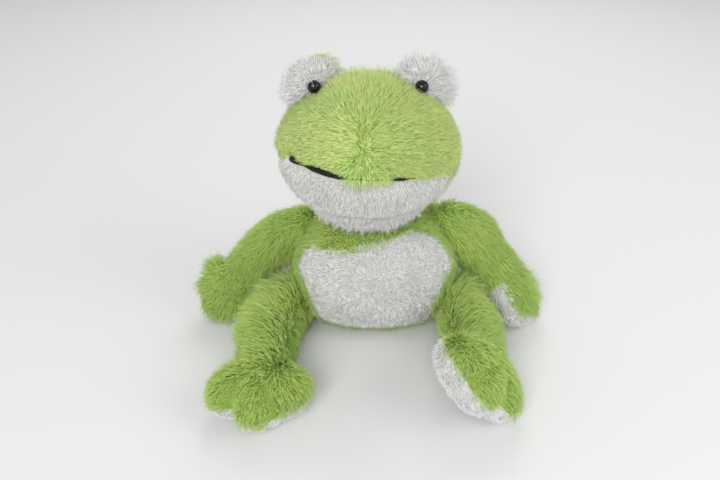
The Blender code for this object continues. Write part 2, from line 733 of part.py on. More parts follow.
def build_head():
    """The green head, the white lower jaw, the black lining of the mouth, and the stuffing."""
    half_open = MOUTH_OPEN / 2
    neck_cup = bpy.data.objects["neck_cup"]
    hollow = add("hollow_of_head", HEAD.mesh("hollow", CORE_CUTS, PLUSH))
    face = face_zone("face_opening", half_open, None, FIT_GAP)
    skin = add("head_skin", HEAD.mesh("head_skin", HEAD_CUTS), GREEN, NECK)
    cut(skin, face, hollow, neck_cup)

    jaw_zone = face_zone("jaw_zone", -half_open, None, 0)
    jaw = add("lower_jaw", HEAD.mesh("lower_jaw", HEAD_CUTS, JAW_SETBACK), WHITE, NECK)
    keep(jaw, jaw_zone)
    cut(jaw, hollow, neck_cup)

    mouth_zone = face_zone("mouth_zone", half_open - FIT_GAP, -half_open + FIT_GAP, 0)
    lining_mesh = HEAD.mesh("mouth_lining", HEAD_CUTS, LINING_SETBACK)
    lining = add("mouth_lining", lining_mesh, BLACK_CLOTH, NECK)
    keep(lining, mouth_zone)
    cut(lining, hollow)

    fill = add("head_stuffing", HEAD.mesh("head_stuffing", CORE_CUTS, PLUSH + FIT_GAP), FILL, NECK)
    cut(fill, neck_cup)


def build_eye(side_name):
    """One eye mound of a white front and a green back, and its bead on a stem with a washer."""
    side = SIDES[side_name]
    across, behind = side * EYE_ACROSS_SHARE * HEAD_HALF_WIDTH, EYE_BEHIND_SHARE * HEAD_BACK
    form = Ball(
        (HEAD.centre[0] + across, HEAD.centre[1] + behind, HEAD.top_at(across, behind) + EYE_PROUD),
        EYE_HALF_WIDTH, EYE_HALF_DEPTH, EYE_HALF_DEPTH, EYE_HALF_HEIGHT, EYE_HALF_HEIGHT,
    )
    head_top = bpy.data.objects.get("head_top") or add(
        "head_top", HEAD.mesh("head_top", HEAD_CUTS, -FIT_GAP)
    )
    hollow = add("hollow_of_eye_" + side_name, form.mesh("hollow", SMALL_CORE_CUTS, SHORT_PLUSH))
    seam_y = form.centre[1] + EYE_SEAM_BACK
    ahead = half_space("ahead_of_eye_" + side_name, Vector((0, seam_y + FIT_GAP / 2, 0)), Vector((0, -1, 0)))
    astern = half_space("behind_eye_" + side_name, Vector((0, seam_y - FIT_GAP / 2, 0)), Vector((0, 1, 0)))

    inward, up = math.radians(BEAD_INWARD_DEG), math.radians(BEAD_UP_DEG)
    way = Vector((-side * math.sin(inward), -math.cos(inward), 0)) * math.cos(up) + UP * math.sin(up)
    spot = form.point(way)
    turn = way.to_track_quat("Z", "Y").to_matrix().to_4x4()
    seat = Matrix.Translation(spot + way * FIT_GAP) @ turn
    hole = turned(
        "stem_hole_" + side_name,
        [(0, -STEM_LENGTH), (STEM_RADIUS + STEM_CLEARANCE, -STEM_LENGTH),
         (STEM_RADIUS + STEM_CLEARANCE, OVERRUN), (0, OVERRUN)],
        seat,
    )
    front = add("eye_front_" + side_name, form.mesh("eye_front", EYE_CUTS), WHITE, NECK)
    cut(front, astern, hollow, head_top, hole)
    back = add("eye_back_" + side_name, form.mesh("eye_back", EYE_CUTS), GREEN, NECK)
    cut(back, ahead, hollow, head_top)

    dome = [(BEAD_RADIUS * math.cos(a), BEAD_RIM + BEAD_DOME * math.sin(a)) for a in
            (math.pi / 2 * step / BALL_STEPS for step in range(BALL_STEPS))]
    turned(
        "eye_bead_" + side_name,
        [(0, -STEM_LENGTH + FIT_GAP), (STEM_RADIUS, -STEM_LENGTH + FIT_GAP), (STEM_RADIUS, 0),
         (BEAD_RADIUS - BEAD_RIM / 2, 0), *dome, (0, BEAD_RIM + BEAD_DOME)],
        seat,
        BLACK_PLASTIC,
        origin=NECK,
    )
    washer_top = -(SHORT_PLUSH + FIT_GAP + STEM_CLEARANCE + WASHER_THICK)
    washer_base = washer_top - WASHER_THICK
    bore = STEM_RADIUS + FIT_GAP
    turned(
        "eye_washer_" + side_name,
        [(bore, washer_top), (WASHER_RADIUS, washer_top), (WASHER_RADIUS, washer_base), (bore, washer_base)],
        seat,
        CLEAR_PLASTIC,
        closed=True,
        origin=NECK,
    )

    pocket = turned(
        "washer_pocket_" + side_name,
        [(0, -STEM_LENGTH - FIT_GAP), (WASHER_RADIUS + FIT_GAP, -STEM_LENGTH - FIT_GAP),
         (WASHER_RADIUS + FIT_GAP, OVERRUN), (0, OVERRUN)],
        seat,
    )
    fill = add(
        "eye_stuffing_" + side_name,
        form.mesh("eye_stuffing", SMALL_CORE_CUTS, SHORT_PLUSH + FIT_GAP),
        FILL,
        NECK,
    )
    cut(fill, head_top, pocket)


def main():
    """Builds the frog from its seat to its eyes."""
    clear_scene()
    floor = half_space("floor", Vector((0, 0, 0)), -UP)
    build_torso(floor)
    build_neck()
    build_head()
    for side_name, side in SIDES.items():
        build_eye(side_name)
        arm_names = ("arm_skin_" + side_name, "arm_stuffing_" + side_name, "palm_panel_" + side_name)
        build_limb(arm(side_name), shoulder_seam(side), arm_names, PALM_FROM_SHARE, floor)
        leg_names = ("leg_skin_" + side_name, "leg_stuffing_" + side_name, "sole_panel_" + side_name)
        build_limb(leg(side_name), hip_seam(side), leg_names, SOLE_FROM_SHARE, floor)


main()
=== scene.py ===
import json
import logging
import math
from dataclasses import dataclass, field
from enum import Enum
from typing import Sequence

import bmesh
import bpy
import numpy as np
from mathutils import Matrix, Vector
from mathutils.bvhtree import BVHTree
from mathutils.kdtree import KDTree


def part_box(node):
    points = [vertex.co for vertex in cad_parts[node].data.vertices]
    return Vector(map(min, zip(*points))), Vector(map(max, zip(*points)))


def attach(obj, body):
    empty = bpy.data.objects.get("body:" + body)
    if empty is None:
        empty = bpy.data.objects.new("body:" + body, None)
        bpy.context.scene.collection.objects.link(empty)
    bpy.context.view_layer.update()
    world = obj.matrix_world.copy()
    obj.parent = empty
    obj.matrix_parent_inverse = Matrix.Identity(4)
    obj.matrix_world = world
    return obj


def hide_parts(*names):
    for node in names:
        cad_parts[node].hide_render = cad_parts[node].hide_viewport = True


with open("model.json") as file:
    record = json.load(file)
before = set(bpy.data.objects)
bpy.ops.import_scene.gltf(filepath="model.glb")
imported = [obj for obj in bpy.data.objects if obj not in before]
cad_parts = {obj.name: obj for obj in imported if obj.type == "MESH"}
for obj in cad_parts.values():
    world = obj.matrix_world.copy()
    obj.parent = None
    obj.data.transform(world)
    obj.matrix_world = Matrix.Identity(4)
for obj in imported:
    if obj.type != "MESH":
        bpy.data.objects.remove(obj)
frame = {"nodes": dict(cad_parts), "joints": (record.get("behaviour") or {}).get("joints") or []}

# A sitting plush frog. Each part is a stuffed form, grown over with a pile of separate strands.
# Metres, +Z up. The frog looks along -Y and its own left side is +X.

log = logging.getLogger("frog")
Array = np.ndarray
Colour = tuple[float, float, float]
Place = tuple[float, float, float]  # or a way
Zone = tuple[float, float]  # where a smooth step starts and where it ends
PerSide = tuple[float, float]  # the frog's right, then its left
Socket = bpy.types.NodeSocket

NODES: dict[str, bpy.types.Object] = frame["nodes"]
PILE_MAP = "OFBake"  # the strands' own map: shade of the lock across, root to tip upward
FIELDS = ("comb", "reach", "stand", "cover")  # which way, how long, how steep and how thick a pile grows
STRAND_FIELDS = ("along", "edge", "tip", "knee", "root", "shade", "strand_length")
FLOOR_CLEARANCE = 0.0003
TINY = 1e-9


class Side(Enum):
    """The frog's own sides, each as the sign of X."""

    LEFT = 1
    RIGHT = -1

    @property
    def tag(self) -> str:
        """The side's word in the names of pieces."""
        return self.name.lower()

    def of(self, pair: PerSide) -> float:
        """This side's one of two values."""
        return pair[self is Side.LEFT]


class Dye(Enum):
    """The colours of plush; FACE is a paler copy of BODY's green, as painted light on the face."""

    BODY = "body"
    # painted light: the face's green is the body's green made paler
    FACE = "face"
    WHITE = "white"

    @property
    def slot(self) -> str:
        """The record's name for the material."""
        return "white_plush" if self is Dye.WHITE else "green_plush"


# ---- wiring of node trees


class Flow:
    """A number or a vector on its way through a node tree, with the usual signs for sums."""

    def __init__(self, wires: "Wires", socket: Socket, vector: bool = False) -> None:
        """Keeps where it comes from and whether it is a vector."""
        self.wires, self.socket, self.vector = wires, socket, vector

    def by(self, operation: str, *others: object) -> "Flow":
        """This and other values, joined by one math node."""
        return self.wires.math(operation, self, *others)

    def __add__(self, other: object) -> "Flow":
        """The sum."""
        return self.by("ADD", other)

    def __sub__(self, other: object) -> "Flow":
        """What is left."""
        return self.by("SUBTRACT", other)

    def __mul__(self, other: object) -> "Flow":
        """A number times another, or a vector scaled by a number."""
        return self.by("SCALE" if self.vector else "MULTIPLY", other)

    def __truediv__(self, other: object) -> "Flow":
        """A number divided by another."""
        return self.by("DIVIDE", other)

    def __pow__(self, other: object) -> "Flow":
        """A number raised to a power."""
        return self.by("POWER", other)

    def __matmul__(self, other: object) -> "Flow":
        """A vector's dot product with another."""
        return self.by("DOT_PRODUCT", other)


class Wires:
    """Adds nodes to a tree and links them as it goes."""

    def __init__(self, tree: bpy.types.NodeTree) -> None:
        """Takes over a tree."""
        self.tree = tree

    def add(self, kind: str, feeds: dict | None = None, **settings: object) -> bpy.types.Node:
        """Adds one node.

        Args:
            kind: Blender's name for the kind of node.
            feeds: What goes into each input, by name or number: a value or another node's output.
            settings: The node's own settings.

        Returns:
            The new node.
        """
        node = self.tree.nodes.new(kind)
        for name, value in settings.items():
            setattr(node, name, value)
        for socket, value in (feeds or {}).items():
            value = value.socket if isinstance(value, Flow) else value
            if isinstance(value, Socket):
                self.tree.links.new(value, node.inputs[socket])
            else:
                node.inputs[socket].default_value = value
        return node

    def math(self, operation: str, *values: object) -> Flow:
        """Works out a number from numbers, or anything from vectors.

        Args:
            operation: The math node's operation.
            values: Numbers, vectors or flows of them.

        Returns:
            The result.
        """
        if not any(isinstance(value, Flow) and value.vector for value in values):
            node = self.add("ShaderNodeMath", dict(enumerate(values)), operation=operation)
            return Flow(self, node.outputs[0])
        feeds = {0: values[0], "Scale": values[1]} if operation == "SCALE" else dict(enumerate(values))
        node = self.add("ShaderNodeVectorMath", feeds, operation=operation)
        if operation == "DOT_PRODUCT":
            return Flow(self, node.outputs["Value"])
        return Flow(self, node.outputs["Vector"], True)

    def split(self, vector: Flow) -> list[Flow]:
        """A vector's three parts."""
        return [Flow(self, part) for part in self.add("ShaderNodeSeparateXYZ", {0: vector}).outputs]

    def built(self, *parts: object) -> Flow:
        """A vector from its parts."""
        return Flow(self, self.add("ShaderNodeCombineXYZ", dict(enumerate(parts))).outputs[0], True)

    def ramp(self, factor: object, stops: Sequence[tuple[float, Colour]]) -> Socket:
        """A colour ramp.

        Args:
            factor: What picks the colour.
            stops: Each stop's place and colour, in order.

        Returns:
            The output with the colour.
        """
        node = self.add("ShaderNodeValToRGB", {"Fac": factor})
        marks = node.color_ramp.elements
        for place, _ in stops[2:]:
            marks.new(place)
        for mark, (place, colour) in zip(marks, stops):
            mark.position = place
            mark.color = (*colour, 1)
        return node.outputs["Color"]

    def blended(self, kind: str, share: float, below: Socket, above: Socket) -> Socket:
        """Two colours laid over each other."""
        feeds = {0: share, 6: below, 7: above}
        return self.add("ShaderNodeMix", feeds, data_type="RGBA", blend_type=kind).outputs[2]

    def relief(self, shader: bpy.types.Node, height: object, strength: float, depth: float) -> None:
        """Gives a shader a bump.

        Args:
            shader: The shader.
            height: How high each point is.
            strength: How much of the bump shows, and less than 0 where it is cut in.
            depth: How deep it is.
        """
        feeds = {"Strength": abs(strength), "Distance": depth, "Height": height}
        bump = self.add("ShaderNodeBump", feeds, invert=strength < 0)
        self.tree.links.new(bump.outputs["Normal"], shader.inputs["Normal"])

    def objects_own(self) -> Socket:
        """Object coordinates."""
        return self.add("ShaderNodeTexCoord").outputs["Object"]


# ---- finishes


def shader_of(name: str, **sockets: object) -> tuple[bpy.types.Material, Wires, bpy.types.Node]:
    """A new material and its shader.

    Args:
        name: The material's name.
        sockets: Plain values of the shader's sockets, with _ for a space.

    Returns:
        The material, its tree's wires and its shader node.
    """
    made = bpy.data.materials.new(name)
    made.use_nodes = True
    shader = made.node_tree.nodes["Principled BSDF"]
    for socket, value in sockets.items():
        shader.inputs[socket.replace("_", " ")].default_value = value
    return made, Wires(made.node_tree), shader


@dataclass(frozen=True)
class StrandFinish:
    """The dyed fibre of a pile, each lock of its own tone: darker at the root and paler at the tip, partly as
    painted shade deep in the pile.
    """

    name: str
    root: Colour
    middle: Colour
    tip: Colour
    cool: Colour
    warm: Colour
    plain: Colour = (0.5, 0.5, 0.5)
    roughness: float = 0.62
    specular: float = 0.25
    sheen: float = 0.12
    sheen_roughness: float = 0.5
    painted_depth_shade_stops: tuple[float, float, float] = (0.0, 0.42, 0.98)
    shades: tuple[float, float, float] = (0.05, 0.5, 0.95)

    def material(self) -> bpy.types.Material:
        """The finish as a material that reads the strands' own map."""
        made, wires, shader = shader_of(
            self.name, Roughness=self.roughness, Specular_IOR_Level=self.specular, Sheen_Weight=self.sheen,
            Sheen_Roughness=self.sheen_roughness, Sheen_Tint=(*self.tip, 1),
        )
        parts = wires.split(wires.add("ShaderNodeUVMap", uv_map=PILE_MAP).outputs["UV"])
        # The root-to-tip ramp is partly painted shade: darker towards the roots, deep in the pile.
        along = wires.ramp(parts[1], list(zip(self.painted_depth_shade_stops, (self.root, self.middle, self.tip))))
        shade = wires.ramp(parts[0], list(zip(self.shades, (self.cool, self.plain, self.warm))))
        doubled = wires.blended("ADD", 1.0, shade, shade)
        wires.tree.links.new(wires.blended("MULTIPLY", 1.0, along, doubled), shader.inputs["Base Color"])
        return made


@dataclass(frozen=True)
class BackingFinish:
    """The knitted cloth under a pile with the dense feet of its fibres, with painted shade darkening the gaps
    between the tufts.
    """

    name: str
    low: Colour
    high: Colour
    roughness: float = 0.95
    specular: float = 0.1
    tufts_per_metre: float = 620.0
    scatter: float = 0.9
    patches_per_metre: float = 90.0
    patch_stops: Zone = (0.3, 0.7)
    tuft_stops: Zone = (0.1, 0.6)
    gap_painted_shade: Colour = (0.55, 0.55, 0.55)
    gap_painted_shade_share: float = 0.8
    bump: float = -0.6
    depth: float = 0.0008

    def material(self) -> bpy.types.Material:
        """The finish as a material on Object coordinates."""
        made, wires, shader = shader_of(
            self.name, Roughness=self.roughness, Specular_IOR_Level=self.specular
        )
        place = wires.objects_own()
        feeds = {"Vector": place, "Scale": self.tufts_per_metre, "Randomness": self.scatter}
        tufts = wires.add("ShaderNodeTexVoronoi", feeds, feature="F1").outputs["Distance"]
        feeds = {"Vector": place, "Scale": self.patches_per_metre, "Detail": 4.0}
        patches = wires.add("ShaderNodeTexNoise", feeds).outputs["Fac"]
        colour = wires.ramp(patches, list(zip(self.patch_stops, (self.low, self.high))))
        # Painted shade: darker between the tufts of fibre feet.
        spots = wires.ramp(tufts, list(zip(self.tuft_stops, ((1.0, 1.0, 1.0), self.gap_painted_shade))))
        mixed = wires.blended("MULTIPLY", self.gap_painted_shade_share, colour, spots)
        wires.tree.links.new(mixed, shader.inputs["Base Color"])
        wires.relief(shader, tufts, self.bump, self.depth)
        return made


@dataclass(frozen=True)
class ClothFinish:
    """A plain woven cloth, such as the black strip in the mouth."""

    name: str
    thread: Colour
    gap: Colour
    threads_per_metre: float
    roughness: float = 0.8
    specular: float = 0.2
    sheen: float = 0.2
    sheen_roughness: float = 0.4
    threads_per_scale: float = 3.14
    unevenness: float = 1.5
    stops: Zone = (0.1, 0.8)
    bump: float = 0.4
    depth: float = 0.0003

    def material(self) -> bpy.types.Material:
        """The finish as a material whose weave runs on Object coordinates."""
        made, wires, shader = shader_of(
            self.name, Roughness=self.roughness, Specular_IOR_Level=self.specular, Sheen_Weight=self.sheen,
            Sheen_Roughness=self.sheen_roughness,
        )
        scale = self.threads_per_metre / self.threads_per_scale
        feeds = {"Vector": wires.objects_own(), "Scale": scale, "Distortion": self.unevenness,
                 "Detail": 1.0}
        waves = [
            wires.add("ShaderNodeTexWave", feeds, wave_type="BANDS", bands_direction=way).outputs["Fac"]
            for way in ("X", "Z")
        ]
        weave = wires.math("MULTIPLY", *waves)
        colour = wires.ramp(weave, list(zip(self.stops, (self.gap, self.thread))))
        wires.tree.links.new(colour, shader.inputs["Base Color"])
        wires.relief(shader, weave, self.bump, self.depth)
        return made


@dataclass(frozen=True)
class MouldedFinish:
    """Moulded plastic with faint handling marks."""

    name: str
    colour: Colour
    marked: Colour
    roughness: Zone
    specular: float = 0.32
    marks_per_metre: float = 700.0
    mark_detail: float = 5.0
    mark_roughness: float = 0.7
    stops: Zone = (0.35, 0.75)
    bump: float = 0.08
    depth: float = 0.0001

    def material(self) -> bpy.types.Material:
        """The finish as a material on Object coordinates."""
        made, wires, shader = shader_of(self.name, Specular_IOR_Level=self.specular)
        feeds = {"Vector": wires.objects_own(), "Scale": self.marks_per_metre, "Detail": self.mark_detail,
                 "Roughness": self.mark_roughness}
        marks = wires.add("ShaderNodeTexNoise", feeds).outputs["Fac"]
        low, high = self.roughness
        gloss = wires.add("ShaderNodeMapRange", {"Value": marks, "To Min": low, "To Max": high})
        wires.tree.links.new(gloss.outputs[0], shader.inputs["Roughness"])
        colour = wires.ramp(marks, list(zip(self.stops, (self.colour, self.marked))))
        wires.tree.links.new(colour, shader.inputs["Base Color"])
        wires.relief(shader, marks, self.bump, self.depth)
        return made


class Palette:
    """Every finish of the frog, each made into a material once."""

    def __init__(self) -> None:
        """Makes the materials."""
        green_cast = (0.43, 0.49, 0.44), (0.57, 0.53, 0.50)
        white_cast = (0.45, 0.455, 0.46), (0.55, 0.545, 0.54)
        # The face's green is a paler copy of the body's green: painted light, standing for the stronger light
        # on the face.
        face = StrandFinish(
            "green_face_strands", (0.56, 0.72, 0.19), (0.68, 0.84, 0.28), (0.79, 0.91, 0.43), *green_cast
        )
        body = StrandFinish(
            "green_strands", (0.39, 0.56, 0.10), (0.47, 0.65, 0.15), (0.60, 0.77, 0.26), *green_cast
        )
        white = StrandFinish(
            "white_strands", (0.78, 0.78, 0.77), (0.92, 0.92, 0.905), (0.95, 0.95, 0.94), *white_cast
        )
        green_backing = BackingFinish("green_backing", (0.28, 0.43, 0.06), (0.38, 0.54, 0.10)).material()
        white_backing = BackingFinish("white_backing", (0.68, 0.68, 0.66), (0.80, 0.80, 0.78)).material()
        self.strands = {Dye.FACE: face.material(), Dye.BODY: body.material(), Dye.WHITE: white.material()}
        self.backings = {Dye.FACE: green_backing, Dye.BODY: green_backing, Dye.WHITE: white_backing}
        self.lining = ClothFinish(
            "black_lining", (0.020, 0.020, 0.022), (0.004, 0.004, 0.004), 1800
        ).material()
        self.bead = MouldedFinish(
            "black_bead", (0.003, 0.003, 0.0035), (0.0048, 0.0048, 0.0056), (0.05, 0.10)
        ).material()
        self.washer = MouldedFinish(
            "clear_washer", (0.72, 0.72, 0.70), (0.95, 0.95, 0.95), (0.3, 0.45)
        ).material()


# ---- meshes and their fields


def places(mesh: bpy.types.Mesh) -> Array:
    """Every vertex's place, as rows."""
    found = np.empty(len(mesh.vertices) * 3, np.float32)
    mesh.vertices.foreach_get("co", found)
    return found.reshape(-1, 3).astype(float)


def normals_of(mesh: bpy.types.Mesh) -> Array:
    """Every vertex's normal, as rows."""
    found = np.empty(len(mesh.vertices) * 3, np.float32)
    mesh.vertex_normals.foreach_get("vector", found)
    return found.reshape(-1, 3).astype(float)


def move_to(mesh: bpy.types.Mesh, at: Array) -> None:
    """Puts every vertex of a mesh in its new place."""
    mesh.vertices.foreach_set("co", at.astype(np.float32).ravel())
    mesh.update()


def set_field(mesh: bpy.types.Mesh, name: str, values: Array) -> None:
    """Stores a number or a vector for each vertex."""
    kind, key = ("FLOAT_VECTOR", "vector") if values.ndim == 2 else ("FLOAT", "value")
    mesh.attributes.new(name, kind, "POINT").data.foreach_set(key, values.astype(np.float32).ravel())


def drop_fields(mesh: bpy.types.Mesh) -> None:
    """Removes what only the pile's growth reads."""
    for name in set(FIELDS + STRAND_FIELDS) & set(mesh.attributes.keys()):
        mesh.attributes.remove(mesh.attributes[name])


def unit(vectors: Array) -> Array:
    """Rows made one unit long."""
    return vectors / np.maximum(np.linalg.norm(vectors, axis=1, keepdims=True), TINY)


def away_from(at: Array, point: Array) -> Array:
    """How far each row is from a point."""
    return np.linalg.norm(at - point, axis=1)


def ease(values: Array, zone: Zone) -> Array:
    """A smooth step from 0 at a zone's start to 1 at its end."""
    share = np.clip((values - zone[0]) / (zone[1] - zone[0]), 0, 1)
    return share * share * (3 - 2 * share)


def hump(values: Array, width: float) -> Array:
    """A smooth hump of height 1 at 0."""
    return np.exp(-((values / width) ** 2))


def middle_of(node: str) -> Array:
    """The middle of a node's box."""
    low, high = (np.array(corner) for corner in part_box(node))
    return (low + high) / 2


def node_shape(names: Sequence[str]) -> bmesh.types.BMesh:
    """Copies of several nodes' meshes in one shape.

    Args:
        names: The nodes.

    Returns:
        The shape, which the caller frees.
    """
    shape = bmesh.new()
    for name in names:
        shape.from_mesh(NODES[name].data)
    return shape


def tree_of(node: str) -> BVHTree:
    """A search tree of a node's surface."""
    shape = node_shape([node])
    tree = BVHTree.FromBMesh(shape)
    shape.free()
    return tree


def delete_faces(mesh: bpy.types.Mesh, gone: Array) -> None:
    """Deletes faces of a mesh, and what they leave loose.

    Args:
        mesh: The mesh.
        gone: Whether each face goes.
    """
    shape = bmesh.new()
    shape.from_mesh(mesh)
    shape.faces.ensure_lookup_table()
    bmesh.ops.delete(shape, geom=[shape.faces[index] for index in np.nonzero(gone)[0]], context="FACES")
    shape.to_mesh(mesh)
    shape.free()


def new_object(name: str, mesh: bpy.types.Mesh) -> bpy.types.Object:
    """Puts a mesh into the scene at the origin."""
    obj = bpy.data.objects.new(name, mesh)
    bpy.context.scene.collection.objects.link(obj)
    return obj


def settled(obj: bpy.types.Object, name: str) -> bpy.types.Mesh:
    """What an object's modifiers make of it, as a plain mesh; the object is removed.

    Args:
        obj: The object with its modifiers.
        name: The new mesh's name.

    Returns:
        The new mesh.
    """
    graph = bpy.context.evaluated_depsgraph_get()
    mesh = bpy.data.meshes.new_from_object(
        obj.evaluated_get(graph), preserve_all_data_layers=True, depsgraph=graph
    )
    mesh.name = name
    bpy.data.objects.remove(obj)
    return mesh


def refine(obj: bpy.types.Object, levels: int) -> None:
    """Makes an object's mesh finer and smoother."""
    finer = obj.modifiers.new("finer", "SUBSURF")
    finer.levels = finer.render_levels = levels


def raised(mesh: bpy.types.Mesh) -> bpy.types.Mesh:
    """The mesh with nothing of it below the floor."""
    at = places(mesh)
    at[:, 2] = np.maximum(at[:, 2], FLOOR_CLEARANCE)
    move_to(mesh, at)
    return mesh


@dataclass
class StuffedForm:
    """The closed outer form of skins and panels, sewn a little slack and then swelled by its filling."""

    name: str
    nodes: tuple[str, ...]
    voxel: float = 0.0050
    slack: float = 0.0012
    swell: float = 0.0024
    merged: float = 1e-6
    relaxing: float = 0.5
    smoothing: int = 3
    pressure: float = 4.0

    def shell(self) -> bpy.types.Object:
        """Joins the nodes into one closed skin and draws it in by its slack."""
        shape = node_shape(self.nodes)
        bmesh.ops.remove_doubles(shape, verts=shape.verts, dist=self.merged)
        joined = bpy.data.meshes.new("joined")
        shape.to_mesh(joined)
        shape.free()
        obj = new_object(self.name, joined)
        remesh = obj.modifiers.new("one_skin", "REMESH")
        remesh.mode = "VOXEL"
        remesh.voxel_size = self.voxel
        relax = obj.modifiers.new("soft", "SMOOTH")
        relax.factor = self.relaxing
        relax.iterations = self.smoothing
        mesh = settled(obj, self.name)
        move_to(mesh, places(mesh) - normals_of(mesh) * self.slack)
        return new_object(self.name, mesh)

    def inflate(self, shell: bpy.types.Object) -> None:
        """Sets the skin's cloth simulation up."""
        cloth = shell.modifiers.new("filling", "CLOTH").settings
        cloth.use_pressure = True
        cloth.uniform_pressure_force = self.pressure
        cloth.effector_weights.gravity = 0

    def finish(self, obj: bpy.types.Object, swelled: Array) -> bpy.types.Mesh:
        """Lets the skin swell by no more than its cap, and makes it twice as fine.

        Args:
            obj: The slack skin.
            swelled: Where the filling pushes each vertex.

        Returns:
            The filled skin, which stays on the floor.
        """
        start = places(obj.data)
        push = swelled - start
        size = np.linalg.norm(push, axis=1, keepdims=True)
        push *= np.minimum(1, self.swell / np.maximum(size, TINY))
        move_to(obj.data, start + push)
        refine(obj, 1)
        return raised(settled(obj, self.name))


def fill(forms: Sequence[StuffedForm], steps: int = 20) -> dict[str, bpy.types.Mesh]:
    """Fills all the forms with cloth simulation, in one run.

    Args:
        forms: The forms.
        steps: How many steps the simulation takes.

    Returns:
        Each form's filled skin by its name.
    """
    shells = [form.shell() for form in forms]
    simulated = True
    if simulated:
        for form, shell in zip(forms, shells):
            form.inflate(shell)
        for step in range(1, steps + 1):
            bpy.context.scene.frame_set(step)
    swelled = []
    for shell in shells:
        graph = bpy.context.evaluated_depsgraph_get()
        swelled.append(places(shell.evaluated_get(graph).data if simulated else shell.data))
        shell.modifiers.clear()
    bpy.context.scene.frame_set(1)
    log.info("filled %d forms, %s", len(forms), "simulated" if simulated else "not simulated")
    return {form.name: form.finish(shell, at) for form, shell, at in zip(forms, shells, swelled)}


# ---- the pile


@dataclass(frozen=True)
class Pile:
    """How a plush's pile is cut and how it lies."""

    length: float
    width: float
    per_area: float
    rise: float
    sway: float
    lock_area: float
    pull: float
    curl: float
    curl_size: float
    fray: float
    segments: int = 2


LONG = Pile(0.0122, 0.00058, 1_020_000, 0.52, 1.2, 1.4e-5, 0.34, 0.34, 0.006, 0.65)
FACE = Pile(0.0118, 0.00052, 1_260_000, 0.46, 1.0, 1.1e-5, 0.34, 0.34, 0.006, 0.60)
SHORT = Pile(0.0078, 0.00057, 1_150_000, 0.56, 1.4, 1.0e-5, 0.50, 0.50, 0.004, 0.70)
MATTED = Pile(0.0095, 0.00058, 1_270_000, 0.50, 2.2, 2.0e-5, 0.55, 0.55, 0.005, 0.85)
SPIKY = Pile(0.0118, 0.00056, 1_250_000, 0.58, 1.0, 1.5e-5, 0.55, 0.30, 0.007, 0.45)


